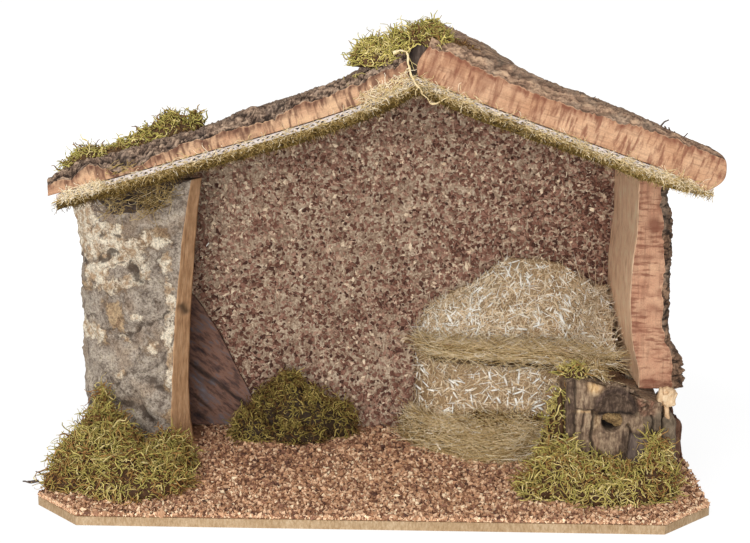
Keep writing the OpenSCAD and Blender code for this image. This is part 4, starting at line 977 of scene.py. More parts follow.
def near_line(x, z, line, width):
    """1 on a line of places and nearly 0 at twice its half width: a bell over the distance."""
    line = np.asarray(line, float)
    best = np.full(x.shape, 1e9)
    for (ax, az), (bx, bz) in zip(line[:-1], line[1:]):
        t = np.clip(((x - ax) * (bx - ax) + (z - az) * (bz - az)) / ((bx - ax) ** 2 + (bz - az) ** 2), 0, 1)
        best = np.minimum(best, np.hypot(x - ax - t * (bx - ax), z - az - t * (bz - az)))
    return np.exp(-(best / width) ** 2)


def crusts(x, z, places):
    """Sum of soft ellipses, each a bell that is 1 in the middle and 0.45 at its rim."""
    result = np.zeros(x.shape)
    for cx, cz, half_w, half_h in places:
        result = result + np.exp(-0.8 * (((x - cx) / half_w) ** 2 + ((z - cz) / half_h) ** 2))
    return np.minimum(result, 1.2)


def left_bark():
    """Thick bark shell: rings up the height. Each ring runs along the curved outer face, an ellipse in
    plan, across the sawn end, and back along the inner face. Cracks, plates and noise raise the outer
    face; the sawn end keeps saw relief only."""
    rows, out, end, inner = 176, 180, 12, 24
    f = column(rows)
    thick = np.interp(f, [0, 0.1, 0.25, 0.5, 0.75, 1], [30, 24, 20.7, 20, 19.5, 16.6])
    reach = np.interp(f, [0, 0.25, 0.5, 0.75, 0.9, 1], [72, 75, 79, 85, 90, 94])
    span = np.arccos(1 - reach / BARK_SPAN)

    def height(s):
        """Heights of the rings: evenly from the grit to the top, which is notched under the mat."""
        x = BARK_X - (BARK_SPAN - 4.5) * np.cos(s * BARK_TOP_SPAN)
        notch = 24 * ease(0.42, 0.62, s) * (1 - 0.55 * ease(0.8, 0.97, s))
        uneven = 1.6 * layered(x, 0, 0, 9, 46, 3) * ease(0.3, 0.5, s)
        top = sheet_under(np.maximum(x, LEFT_EAVE[0])) - 0.4 - MAT_T - notch + uneven
        return IN_GRIT + (top - IN_GRIT) * f

    def shell(s, depth):
        a = s * span
        return BARK_X - (BARK_SPAN - depth) * np.cos(a), AT_WALL - (BARK_DEPTH - depth) * np.sin(a)

    s = row(out)
    z = height(s)
    x, y = shell(s, 0)
    wander_x = x + 3.5 * layered(x, y, z, 13, 41, 4)
    wander_z = z + 3.5 * layered(x, y, z, 13, 42, 4)
    crack = np.zeros_like(x)
    sunk = np.zeros_like(x)
    fade = np.clip(0.75 + 0.5 * layered(x, y, z, 11, 47, 2), 0.15, 1.2)
    for line, width, depth in BARK_CRACKS:
        near = near_line(wander_x, wander_z, line, width)
        crack = np.maximum(crack, near * min(1, depth / 2.4) * fade)
        sunk = np.maximum(sunk, near_line(wander_x, wander_z, line, width * 1.6) * depth * fade)
    # A band at the top, just under the mat, that the mark of cracks darkens and that loses its crusts:
    # painted shade under the roof.
    dark = ease(186, 197, z + 3 * layered(x, 0, z, 8, 48, 2)) * ease(0.25, 0.5, s) * (1 - ease(0.8, 0.95, s))
    cream = crusts(wander_x, wander_z, CREAM_CRUSTS)
    ochre = crusts(wander_x, wander_z, OCHRE_CRUSTS)
    raised = 2.3 * layered(x, y, z, (20, 20, 14), 43, 4) - sunk
    raised = raised + 0.8 * np.minimum(cream, 1) * (0.5 + layered(x, y, z, 5, 49, 3))
    raised = raised + 0.5 * layered(x, y, z, 3.2, 44, 3)
    raised = raised * ease(0, 0.04, s) * (1 - 0.7 * ease(0.97, 1, s))
    raised = raised + 8.0 * (1 - ease(0.35, 0.75, s)) * (0.6 + 0.4 * ease(0.75, 0.95, f))
    out_x, out_y = shell(s, -raised - 0.3)
    q = row(end + 2)[:, 1:-1]
    end_x, end_y = shell(np.ones_like(q), thick * q)
    end_z = height(np.ones_like(q))
    saw = 0.35 * layered(end_x, end_y, IN_GRIT + f * 200, (2, 2, 14), 45, 3)
    s = row(inner, 1, 0)
    in_x, in_y = shell(s, thick)
    rings = rings_of((out_x, out_y, z), (end_x + saw, end_y, end_z), (in_x, in_y, height(s)))
    marks = {"crack": np.maximum(crack, 0.8 * dark), "cream": cream * (1 - dark), "ochre": ochre}
    marks = {name: padded(mark, 0, end + inner) for name, mark in marks.items()}
    scars = np.maximum(near_line(end_z, end_x + 142, [(118, 0), (112, 2)], 2.0),
                       near_line(end_z, end_x + 142, [(36, 4), (28, 6)], 1.5))
    marks["crack"][:, out:out + end] = 0.8 * scars
    return loft(rings, np.repeat([0, 1, 2], [out - 1, end + 1, inner]), 2, flip=True, **marks)


piece("left_bark_wall", left_bark(), [LICHEN, CUT_END, DARK_BARK], ["left_wall_bark"])


def corner_bark():
    """Thin dark bark: rings up its height, along the uneven front and back along the wall. Its upper
    edge falls to the right, and ribs run down with it."""
    low, high = node_box("corner_bark")
    cols = 92
    u, v = row(cols), column(74)
    x = low[0] + (high[0] - low[0]) * u + 0 * v
    top = low[2] + (high[2] - low[2]) * (1 - 0.82 * np.clip((u - 0.42) / 0.58, 0, 1) ** 1.25)
    top = top + 1.5 * layered(x[:1], 0, 0, 9, 51)
    z = low[2] + (top - low[2]) * v
    thick = 5.0 * (0.45 + 0.55 * np.sin(np.pi * (0.06 + 0.88 * u)) ** 0.5)
    rib = layered(x * 0.75 - z * 0.66, z * 0.75 + x * 0.66, 0, (40, 5, 1), 52, 4)
    rings = rings_of((x, high[1] - thick + 1.2 * rib, z), (x[:, ::-1], high[1], z[:, ::-1]))
    # Grooves between the ribs carry the mark that darkens them: painted shade.
    return loft(rings, flip=True, crack=padded(np.clip(-rib - 0.35, 0, 1), 0, cols))


piece("corner_bark_piece", corner_bark(), [CORNER], ["corner_bark"])


def right_wall():
    """Cork wall: rings up its height. Each goes along the sawn front to the bark, which rounds back from
    the saw cut, along the bark, across the sawn back, and forward along the smooth belly. The bark swells
    out at the foot, where it is broken into lumps."""
    low, high = node_box("right_wall_cork")
    face, rim, deep = 22, 12, 40
    f = column(205)
    h = f * (RIGHT_EAVE[1] - low[2])
    top = sheet_under(190.0) - MAT_T - 0.6
    level = low[2] + f * (top - low[2])
    u = row(deep)
    inner_x = 179 - 3 * np.sin(np.pi * np.clip((h - 30) / 80, 0, 1)) + 5 * (1 - ease(8, 34, h))
    outer_x = 203 + 11 * (1 - ease(14, 40, h)) - 4 * ease(118, 134, h)
    bark_t = np.interp(level, [72, 85, 97, 106, 120, 160, 176, 190, 205], [8, 7.5, 5, 3.2, 4.5, 5, 6.5, 7, 5])
    bark_t = bark_t + 0.9 * layered(level, 0, 0, 5, 64, 3)
    q = row(face + 1)[:, :-1]
    front_x = inner_x + (outer_x - bark_t - inner_x) * q
    front_y = low[1] + 0.35 * layered(front_x, 0, level, (2, 1, 4), 63, 2)
    # the bark from the edge of the cut round to the outer side
    turn = np.pi / 2 * row(rim)
    rim_x = outer_x - bark_t * (1 - np.sin(turn))
    rim_y = low[1] + 6.5 * (1 - np.cos(turn)) + 0.4 + 0 * h
    side_y = rim_y[:, -1:] + (high[1] - rim_y[:, -1:]) * u[:, 1:]
    bark_x = np.concatenate([rim_x, np.repeat(outer_x, deep - 1, 1)], 1)
    bark_y = np.concatenate([rim_y, side_y], 1)
    along = np.concatenate([bark_t * row(rim), bark_t + (side_y - rim_y[:, -1:])], 1)
    bump, gap = plates(level, along, (7, 9, 1), 61)
    strength = 1.3 + 1.2 * (1 - ease(20, 44, h))
    notch = near_line(level, 0, [(98.5, -1), (98.5, 1)], 1.5)
    notch = notch + 0.9 * near_line(level, 0, [(86.5, -1), (86.5, 1)], 1.3)
    outward = np.concatenate([np.sin(turn) + 0 * h, np.ones_like(side_y)], 1)
    bark_x = bark_x + (strength * bump - 3.2 * notch) * outward
    bark_y = bark_y - strength * bump * (1 - outward) * ease(0, 1.5, along)
    belly_y = high[1] + (low[1] - high[1]) * u[:, :-1]
    belly_x = inner_x - 2 * (1 - u[:, :-1]) + 0.25 * layered(0, belly_y, level, (1, 20, 6), 62, 3)
    back_x = bark_x[:, -1:] + (belly_x[:, :1] - bark_x[:, -1:]) * row(face)[:, 1:-1]
    rings = rings_of((front_x, front_y, level), (bark_x, bark_y, level), (back_x, high[1], level),
                     (belly_x, belly_y, level))
    edge = ease(0.72, 1.0, q) * (0.35 + 0.4 * layered(front_x, 0, level, (4, 1, 2), 65, 2))
    # a dark spot high on the sawn face, and dark bands across it: height, half width and strength
    spots = np.exp(-((front_x - 190) / 5) ** 2 - ((level - 187) / 5) ** 2) * 1.1
    for place, width, amount in ((163, 2.2, 0.7), (127, 4.0, 0.6), (116, 1.2, 0.5), (76, 3.0, 0.75),
                                 (140, 1.0, 0.4), (96, 0.8, 0.4), (104, 0.8, 0.3)):
        wave = 1.5 * layered(front_x, 0, 0, 8, place, 2)
        band = np.exp(-((level + wave - place) / width) ** 2)
        band = band * np.clip(0.8 + 0.5 * layered(front_x, 0, level, 6, 66, 2), 0, 1)
        spots = np.maximum(spots, amount * band)
    rest = face - 2 + deep - 1
    marks = bark_marks(bump, gap, face, rest)
    marks["stain"] = padded(np.clip(np.maximum(edge, spots), 0, 0.85), 0, rim + deep - 1 + rest)
    bands = np.repeat([0, 1, 0, 2], [face, rim + deep - 2, face - 1, deep - 1])
    return loft(rings, bands, flip=True, **marks)


piece("right_cork_wall", right_wall(), [WALL_CUT, WALL_BARK, BELLY], ["right_wall_cork"])


# Stump
# Its cracks: places (x, z) along each, half width and depth
STUMP_CRACKS = [
    ([(137, 20), (137.5, 66), (136.5, 84)], 0.7, 1.6),
    ([(149.5, 15), (149.5, 50), (149, 63)], 0.9, 2.4),
    ([(138, 64.5), (143, 63.5), (150, 64)], 0.5, 0.9),
    ([(176, 18), (176, 46), (173, 52)], 0.8, 1.8),
    ([(191, 30), (189, 60)], 0.9, 1.8),
    ([(143, 62), (142, 30)], 0.5, 0.9),
]
# Its dark hood and its hollow knot as ovals: middle (x, z), half width and half height
HOOD = (164.5, 63, 13.5, 15.5)
KNOT = (162.5, 54.5, 7.5, 7)


def from_middle(x, z, oval):
    """Distance from the middle of an oval, which is 1 on its rim."""
    middle_x, middle_z, half_w, half_h = oval
    return np.hypot((x - middle_x) / half_w, (z - middle_z) / half_h)


def stump():
    """Stump: rings up its height, each across the carved front, back along the right side and round.
    The front has a post on the left, a dark hood round the knot, whose hollow lies below a lip, and lumpy
    bark on the right. The marks name the zones of the front."""
    low, high = node_box("stump_bark")
    rest = 12
    f = column(150)
    x = low[0] + (high[0] - low[0]) * row(150)
    top = np.interp(x, [132, 136, 146, 151, 156, 164, 172, 177, 183, 196],
                    [81, 84, 83, 82, 81, 82, 81, 77, 73, 68])
    top = top + 0.9 * layered(x, 0, 0, 5, 71, 3)
    z = IN_GRIT + (top - IN_GRIT) * f
    x = x + 0 * f
    wx = x + 1.2 * layered(x, 0, z, 9, 73, 3)
    wz = z + 1.2 * layered(x, 0, z, 9, 77, 3)
    grain = layered(wx, 0, z, (2.6, 1, 15), 74, 4)
    r = from_middle(wx, wz, HOOD)
    arch = np.exp(-((r - 1) / 0.22) ** 2) * ease(58, 65, wz)
    within = (1 - ease(0.78, 0.95, r)) * ease(59, 62, wz)
    hollow = 1 - ease(0.75, 1.05, from_middle(wx, wz, KNOT))
    post = ease(136, 139, wx) * (1 - ease(147.5, 150, wx))
    lumps = np.exp(-((wx - 184) / 7.5) ** 4 - ((wz - 68) / 8.5) ** 4)
    lump, lump_gap = plates(x, z, (7, 7, 1), 78)
    raised = 1.2 + 2.2 * post + 4.5 * arch + 1.0 * within - 12 * hollow + 2.6 * lumps * (0.3 + lump)
    crack = 0 * x
    for line, width, depth in STUMP_CRACKS:
        near = near_line(wx, wz, line, width)
        crack = np.maximum(crack, near)
        raised = raised - depth * near
    raised = raised + 0.7 * grain * (1 - 0.6 * arch) + 0.7 * arch * layered(x, 0, z, 2.2, 79, 2)
    raised = raised + 1.1 * layered(wx, 0, wz, 7, 80, 3)
    y = low[1] + 4.2 - raised
    # The line under the lip, the hollow, the cracks and the gaps between the lumps go into the nearly black
    # mark below: painted shade.
    lip = within * np.exp(-((wz - 61) / 1.6) ** 2)
    hood = 0.85 * (1 - ease(1.0, 1.15, r)) * ease(57, 61, wz)
    # The set-back left edge, and the foot behind the dark root piece, go into the dark zone: painted shade.
    left_edge = 0.75 * (1 - ease(136, 138.5, wx))
    foot = 0.7 * ease(168, 170, wx) * (1 - ease(47, 50, wz)) * (1 - ease(182, 184, wx))
    zones = {
        "crack": np.clip(np.maximum.reduce([0.75 * crack, hollow, lip, 0.7 * lumps * lump_gap]), 0, 1),
        "dark": np.clip(np.maximum.reduce([arch * 1.1, hood, left_edge, foot]), 0, 1),
        "tan": np.clip(np.exp(-((wx - 150.5) / 4.5) ** 2 - ((wz - 79.5) / 3.5) ** 2) * 1.2
                       + 0.7 * np.exp(-((wx - 144) / 7) ** 2 - ((wz - 62.5) / 0.9) ** 2)
                       + 0.4 * np.exp(-((wx - 152) / 2.0) ** 2 - ((wz - 58) / 8) ** 2), 0, 1),
        "rust": np.clip(lumps * (0.6 + 0.6 * layered(x, 0, z, 5, 72, 2))
                        + 0.5 * noise(wx, 0, wz, 8, 88) - 0.15, 0, 0.9),
        "grey": ease(182, 186, wx) * (1 - ease(60, 64, wz)),
    }
    side = row(rest + 2)[:, 1:-1]
    right_x = high[0] + 0.8 * layered(0, side * 50, z[:, -1:], 6, 75)
    right_y = y[:, -1:] + (high[1] - y[:, -1:]) * side
    left_x = low[0] + 0.8 * layered(0, side * 50, z[:, :1], 6, 76)
    left_y = high[1] + (y[:, :1] - high[1]) * side
    back_x = high[0] + (low[0] - high[0]) * row(rest)
    back_top = np.interp(back_x, [low[0], 148, 150, 177, 178, high[0]], [82, 82, 80, 76, 71.5, 70])
    rings = rings_of((x, y, z), (right_x, right_y, z[:, -1:]),
                     (back_x, high[1], IN_GRIT + (back_top - IN_GRIT) * f), (left_x, left_y, z[:, :1]))
    return loft(rings, flip=True, **{name: padded(zone, 0, 3 * rest) for name, zone in zones.items()})


piece("stump_with_knot", stump(), [STUMP], ["stump_bark"])


def blob(centre, half, seed, power=0.8, rough=0.12, sides=36, lean=(0, 0), grain=6):
    """Uneven closed lump: rings whose radius follows a rounded box, raised by layered noise."""
    polar = np.pi * column(24)
    a = np.linspace(0, 2 * np.pi, sides, endpoint=False)[None, :]
    ring = np.sin(polar) ** power
    c, s = np.cos(a), np.sin(a)
    x = ring * np.sign(c) * np.abs(c) ** power
    y = ring * np.sign(s) * np.abs(s) ** power
    z = -np.sign(np.cos(polar)) * np.abs(np.cos(polar)) ** power + 0 * a
    bump = 1 + rough * layered(x * half[0], y * half[1], z * half[2], grain, seed, 4)
    px = centre[0] + half[0] * x * bump + lean[0] * z
    py = centre[1] + half[1] * y * bump + lean[1] * z
    return loft(rings_of((px, py, centre[2] + half[2] * z * bump)), flip=True)


def fitted(node, seed, **shape):
    """Uneven lump that fills the box of a CAD node and stands a little in the grit."""
    low, high = node_box(node)
    low[2] -= GRIT_DEPTH
    return blob((low + high) / 2, (high - low) / 2, seed, **shape)


piece("grey_bark_piece", fitted("grey_bark", 81, power=0.55, rough=0.16), [GREY_BARK],
      ["grey_bark"])
piece("side_bark_strip", fitted("side_bark", 82, power=0.5, rough=0.2, sides=80, grain=9), [RED_BARK],
      ["side_bark"])
piece("dark_root_piece", fitted("root_piece", 83, power=0.5, rough=0.12), [DARK_BARK],
      ["root_piece"])
piece("pale_wood_chip", join(
    blob((201.5, -28.5, 70.5), (5.6, 5.0, 5.6), 84, 0.6, 0.3, lean=(1.6, 0), grain=4),
    blob((195.5, -30.0, 68.5), (1.8, 3.5, 8.5), 86, 0.6, 0.25, lean=(0.8, 0)),
    blob((200.6, -29.5, 60.5), (1.9, 3.5, 7.5), 87, 0.6, 0.3, lean=(-0.8, 0))),
      [PALE_WOOD], ["wood_chip"])


def tongue():
    """Tongue across the knot: a lumpy piece that is thick in its middle, low on the right, grown over."""
    t = column(60)
    a = np.linspace(0, 2 * np.pi, 36, endpoint=False)[None, :]
    x = 153.5 + 21 * t
    z = 60.8 - 8.0 * t ** 1.3 - 1.2 * np.sin(np.pi * t)
    half = 1.4 + 4.0 * np.sin(np.pi * (0.06 + 0.9 * t ** 0.8))
    bump = 1 + 0.22 * layered(x, np.cos(a) * 3, np.sin(a) * 3, 2.6, 85, 3)
    y = node_box("knot_tongue")[0][1] + 4 + 3.4 * np.cos(a) * bump
    return loft(rings_of((x, y, z + half * np.sin(a) * bump)))


piece("ochre_knot_tongue", tongue(), [TONGUE], ["knot_tongue"])


# Hay
# Where its pile starts and ends in x
HAY_X = (28, 172)
HAY_TOP = node_box("hay_block")[1][2]
# Widths of its stems, from fine to broad
FINE, THIN, STEM, BLADE, BROAD = (0.35, 0.6), (0.4, 0.7), (0.7, 1.3), (0.6, 1.5), (1.3, 2.1)


def hay_front(u, deep):
    """Plan of the hay: it leaves the wall at its left end and rounds forward, a power of 2.6."""
    rounded = (1 - (1 - np.minimum(1, u * 5)) ** 2.6) ** (1 / 2.6)
    return AT_WALL - deep * np.maximum(0.04, rounded)


def hay_depth(u):
    """Depth of the lower block, whose front runs aslant and further forward to the right."""
    return 34.5 + 32.5 * u


def hay_x(u):
    return HAY_X[0] + (HAY_X[1] - HAY_X[0]) * u


def block_face(u, v):
    z = FLOOR_Z - 1 + (HAY_TOP - FLOOR_Z + 1) * v
    deep = hay_depth(u) - 2 + 3.0 * np.sin(np.pi * np.clip(v, 0, 1)) - 4 * ease(0.9, 1, v)
    return hay_x(u), hay_front(u, deep), z


def ledge_face(u, v):
    low, high = node_box("hay_ledge")
    deep = hay_depth(u) - 0.5 + 3.6 * np.sin(np.pi * np.clip(v, 0, 1)) ** 0.7
    return hay_x(u), hay_front(u, deep), low[2] - 1 + (high[2] - low[2] + 1) * v


def terrace_face(u, v):
    """Top of the ledge, from its front edge at v = 0 back to the mound."""
    deep = hay_depth(u) - 1 - (hay_depth(u) - mound_depth(u, 0)) * v
    return hay_x(u), hay_front(u, deep), node_box("hay_ledge")[1][2] + 0.6 * np.sin(np.pi * v) + 0 * u


# Upper edge of the hay mound as places (x, z)
MOUND_TOP = ([30, 38, 53, 71, 89, 99, 122, 138, 151, 160, 174],
             [90, 106, 116, 124, 139, 144, 143, 140, 131, 124, 124])


def mound_depth(u, v):
    """Depth of the mound: it leans back to the wall, and swells forward beside the right wall."""
    return 3 + (20 + 38 * ease(0.72, 1, u)) * (1 - 0.8 * np.clip(v, 0, 1) ** 1.3)


def mound_face(u, v):
    low = node_box("hay_mound")[0][2]
    x = HAY_X[0] + 3 + (HAY_X[1] - HAY_X[0] - 3) * u
    top = np.interp(x, *MOUND_TOP)
    return x, hay_front(u, mound_depth(u, v)), low - 1 + (top - low + 1) * v


def bed_face(u, v):
    """Loose hay on the floor: it spreads from the block, v = 0 at its outer rim."""
    w = 0.66 * u
    turn = np.pi / 2 * np.clip(w / 0.2, 0, 1)
    spread = (22 + 15 * (1 - ease(0, 0.3, np.abs(w - 0.36)))) * (1 - v)
    x = hay_x(w) - 0.5 - spread * 0.6 * np.cos(turn)
    y = hay_front(w, hay_depth(w)) - spread * np.sin(np.maximum(np.radians(12), turn))
    return x, y, FLOOR_Z - 0.5 + 24 * np.sin(np.pi / 2 * v) * (0.8 + 0.2 * ease(0.1, 0.5, w))


def stack_core(face, seed, rows=50):
    """Core of a hay piece: rings up its height, along the lumpy front and back along the wall."""
    u, v = row(110), column(rows)
    x, y, z = (w + 0 * u + 0 * v for w in face(u, v))
    y = y + 0.8 * layered(x, y, z, 5, seed, 3) * ease(0, 0.05, u)
    return loft(rings_of((x, y, z), (x[:, ::-1], AT_WALL, z[:, ::-1])), None, 1, flip=True)


def on_face(rng, face, count, u_range=(0, 1), v_range=(0, 1)):
    """Random places on a face with their normals, from two small steps along it."""
    u = rng.uniform(*u_range, count)
    v = rng.uniform(*v_range, count)
    here = np.stack(face(u, v), -1)
    along = unit(np.stack(face(u + 1e-3, v), -1) - here)
    up = unit(np.stack(face(u, v + 1e-3), -1) - here)
    return here, along, up, unit(np.cross(along, up))


def straws(rng, face, count, length, width, lift=1.2, flatness=0.4, tint=(0.5, 0.2), level=None, bright=0.12,
           **where):
    """Blades that lie on a face: straight, slightly tilted, each with its own length and tone. level is how
    far they stray from the face's own direction, and without it they lie every way."""
    here, along, up, out = on_face(rng, face, count, **where)
    turn = rng.uniform(0, np.pi, count) if level is None else rng.normal(0, level, count)
    heading = np.cos(turn)[:, None] * along + np.sin(turn)[:, None] * up
    heading = unit(heading + out * rng.normal(0.05, 0.16, (count, 1)))
    size = rng.uniform(*length, count)
    start = here + out * rng.uniform(0, lift, (count, 1)) - heading * size[:, None] / 2
    path = curls(rng, start, heading, size, rng.normal(0, 0.08, count), 3, sway=0.06)
    radius = rng.uniform(*width, count)[:, None] / 2 * np.array([[0.85, 1.0, 0.8]])
    tone = tones(rng, tint, count)
    tone = np.where(rng.uniform(size=count) < bright, rng.uniform(0.85, 1, count), tone)
    return tubes(rng, path, radius, 4, flatness, tint=tone[:, None], tip=1.0)


def wisps(rng, face, count, length, width, turn=0.5, lift=0.5, tint=(0.5, 0.2), level=None, **where):
    """Fine curved fibres that lie on a face or lift a little off it."""
    here, along, up, out = on_face(rng, face, count, **where)
    if level is None:
        angle = rng.uniform(0, 2 * np.pi, count)
    else:
        angle = rng.normal(0, level, count) + np.pi * rng.integers(0, 2, count)
    heading = np.cos(angle)[:, None] * along + np.sin(angle)[:, None] * up
    heading = unit(heading + out * rng.normal(lift * 0.4, 0.2, (count, 1)))
    size = rng.uniform(*length, count)
    path = curls(rng, here, heading, size, rng.normal(0, turn, count), 5, sway=0.2 * turn)
    radius = tapered(rng.uniform(*width, count), 0.6, 5)
    return tubes(rng, path, radius, tint=tones(rng, tint, count)[:, None], tip=1.0)


rng = np.random.default_rng(301)
piece("hay_bale_lower", keep_above(join(
    stack_core(block_face, 311),
    straws(rng, block_face, 1800, (3, 11), BLADE, tint=(0.32, 0.22), bright=0.14),
    straws(rng, block_face, 90, (5, 10), BROAD, 2.2, 0.3, (0.95, 0.05), v_range=(0.25, 0.95)),
    straws(rng, bed_face, 800, (4, 10), (0.6, 1.4), tint=(0.45, 0.25), bright=0.2, u_range=(0, 0.6),
           v_range=(0.55, 1)),
    wisps(rng, block_face, 750, (5, 14), THIN, tint=(0.42, 0.25))), FLOOR_Z),
      [HAY, HAY_CORE], ["hay_block"])
piece("hay_ledge_layer", join(
    stack_core(ledge_face, 312, 16),
    straws(rng, ledge_face, 160, (5, 12), STEM, level=0.35, tint=(0.7, 0.2), v_range=(0.1, 0.5)),
    wisps(rng, ledge_face, 900, (10, 24), FINE, level=0.3, tint=(0.44, 0.2)),
    wisps(rng, terrace_face, 900, (8, 20), FINE, level=0.4, lift=0.3),
    straws(rng, terrace_face, 120, (4, 10), STEM, level=0.6)),
      [FINE_HAY, HAY_CORE], ["hay_ledge"])
piece("hay_bale_upper", join(
    stack_core(mound_face, 313),
    straws(rng, mound_face, 2300, (4, 11), BLADE, tint=(0.42, 0.22), bright=0.16),
    straws(rng, mound_face, 130, (5, 11), BROAD, 2.2, 0.3, (0.95, 0.05)),
    straws(rng, terrace_face, 800, (4, 10), (0.6, 1.4), tint=(0.45, 0.25), bright=0.2, v_range=(0.2, 1)),
    wisps(rng, mound_face, 800, (5, 14), THIN, tint=(0.45, 0.25)),
    wisps(rng, mound_face, 260, (10, 24), FINE, tint=(0.4, 0.2), u_range=(0.86, 1), lift=0.8)),
      [HAY, HAY_CORE], ["hay_mound"])


def stump_cover(u, v):
    """Top of the stump, where loose hay lies."""
    return 138 + 26 * u, -22 + 30 * v, 84.5 + 1.5 * np.sin(np.pi * v) + 0 * u - 10 * ease(0.6, 1.0, u)


def bed_core():
    """Heap of loose hay: rings from the outer rim up to the block, closed underneath."""
    u, v = row(90), column(24)
    x, y, z = (w + 0 * u + 0 * v for w in bed_face(u, v))
    z = z + 0.6 * layered(x, y, 0, 5, 314, 3) * ease(0, 0.2, v)
    return loft(rings_of((x, y, z), (x[:, ::-1], y[:, ::-1], IN_GRIT)), None, 1, flip=True)


piece("hay_on_the_stump", join(
    wisps(rng, stump_cover, 700, (5, 14), (0.4, 0.8), level=1.2, tint=(0.35, 0.3), lift=0.2),
    straws(rng, stump_cover, 160, (4, 10), (0.6, 1.2), tint=(0.6, 0.25))), [FINE_HAY])
piece("hay_loose_bed", keep_above(join(
    bed_core(),
    wisps(rng, bed_face, 2200, (10, 26), (0.35, 0.65), level=0.35, tint=(0.4, 0.22), lift=0.3),
    straws(rng, bed_face, 500, (5, 14), (0.6, 1.3), level=0.6, tint=(0.55, 0.25)),
    straws(rng, bed_face, 420, (4, 10), (0.8, 1.6), tint=(0.7, 0.2), v_range=(0.55, 1))), IN_GRIT),
      [FINE_HAY, HAY_CORE], ["hay_bed"])


# Moss
def moss_and_ledge_shadow(rng):
    """Brown moss caught between the hay and the floor hay, and a line of nearly black straws under the ledge:
    a painted shadow.
    """
    tuft = (0.8, 1.4)
    return join(
        wisps(rng, bed_face, 520, (3, 9), tuft, 1.6, 1.8, (0.22, 0.16), u_range=(0.42, 0.98),
              v_range=(0.84, 0.99)),
        wisps(rng, bed_face, 200, (3, 8), tuft, 1.6, 1.8, (0.24, 0.2), u_range=(0.5, 0.72),
              v_range=(0.62, 0.84)),
        # Nearly black straws under the ledge: painted shadow.
        straws(rng, ledge_face, 420, (4, 11), (0.5, 1.0), 4.5, 0.6, (0.0, 0.06), 0.12, 0.0, u_range=(0.1, 1),
               v_range=(-0.16, 0.04)))


def dome(x, y, lobes):
    """Height of a cushion over its ground: the highest of its lobes, each half an ellipsoid."""
    best = np.zeros(np.broadcast(x, y).shape)
    for cx, cy, half_w, half_d, height in lobes:
        inside_lobe = 1 - ((x - cx) / half_w) ** 2 - ((y - cy) / half_d) ** 2
        best = np.maximum(best, height * np.sqrt(np.clip(inside_lobe, 0, 1)))
    return best


def cushion_core(lobes, ground, seed):
    """Core of a cushion: rings from its middle out to its rim, on its ground, and back underneath."""
    lobes = np.array(lobes, float)
    middle = np.average(lobes[:, :2], axis=0, weights=lobes[:, 2] * lobes[:, 3])
    a = np.linspace(0, 2 * np.pi, 72, endpoint=False)
    reach = np.linspace(0, 1, 240) * 160
    height = dome(middle[0] + np.cos(a)[:, None] * reach, middle[1] + np.sin(a)[:, None] * reach, lobes)
    rim = np.array([reach[h > 0].max() if (h > 0).any() else 5 for h in height])
    outward, inward = 30, 8
    f = np.concatenate([column(outward, 0.02, 1), column(inward, 0.98, 0.02)])
    x = middle[0] + rim * f * np.cos(a)
    y = middle[1] + rim * f * np.sin(a)
    up = dome(x, y, lobes) * 0.86 * (1 + 0.12 * layered(x, y, 0, 8, seed, 3))
    up[outward:] = 0
    return loft(rings_of((x, y, ground(x, y) + up - 0.2)), None, 1)


def on_cushion(rng, lobes, ground, count):
    """Random places on the domes that no other lobe covers, with their normals."""
    lobes = np.array(lobes, float)
    weight = lobes[:, 2] * lobes[:, 3] + lobes[:, 4] * (lobes[:, 2] + lobes[:, 3]) / 2
    pick = rng.choice(len(lobes), 4 * count, p=weight / weight.sum())
    way = random_units(rng, 4 * count)
    way[:, 2] = np.abs(way[:, 2])
    chosen = lobes[pick]
    place = way * chosen[:, 2:5]
    x, y = place[:, 0] + chosen[:, 0], place[:, 1] + chosen[:, 1]
    free = place[:, 2] > dome(x, y, lobes) - 1.5
    x, y, up = x[free][:count], y[free][:count], place[free, 2][:count]
    normal = unit(way[free][:count] / chosen[free, 2:5][:count])
    return np.column_stack([x, y, ground(x, y) + up]), normal


def strands(rng, lobes, ground, count, seed, length, width, tint, sag, steps):
    """Strands of moss that run over the cushion, lift off it a little and curl strongly. The width changes
    from ring to ring, as the small leaves make it do."""
    roots, normal = on_cushion(rng, lobes, ground, count)
    count = len(roots)
    way = random_units(rng, count)
    way = unit(way - normal * (way * normal).sum(1, keepdims=True))
    heading = way + normal * rng.uniform(-0.3, 0.42, (count, 1))
    roots = roots - normal * rng.uniform(0, 3.0, (count, 1))
    size = rng.uniform(*length, count)
    path = curls(rng, roots, heading, size, rng.normal(0, 1.7, count), steps, 0.6, sag)
    path[..., 2] = np.maximum(path[..., 2], ground(path[..., 0], path[..., 1]) + 0.4)
    leaves = rng.uniform(0.5, 1.2, (count, steps)) * row(steps, 1.0, 0.4)
    radius = rng.uniform(*width, count)[:, None] / 2 * leaves
    tone = rng.normal(*tint, count) + 0.26 * layered(*roots.T, 15, seed, 3)
    return tubes(rng, path, radius, tint=np.clip(tone, 0, 0.86)[:, None], tip=row(steps, 0.2, 1) ** 0.7)


def moss(rng, lobes, ground, count, seed, length=(7, 19), width=(0.8, 1.9), tint=(0.5, 0.22), sag=1.2):
    """Cushion of moss: a brown core under long curling strands and short tufts."""
    return join(strands(rng, lobes, ground, count, seed, length, width, tint, sag, 7),
                strands(rng, lobes, ground, int(0.9 * count), seed + 50, (3, 8), width, tint, 0.3, 4),
                cushion_core(lobes, ground, seed))


def flat_ground(height):
    """Ground of a cushion that stands on a level place."""
    return lambda x, y: np.full(np.broadcast(x, y).shape, height)


FLAT_FLOOR = flat_ground(FLOOR_Z)
STUMP_TOP = flat_ground(84.2)


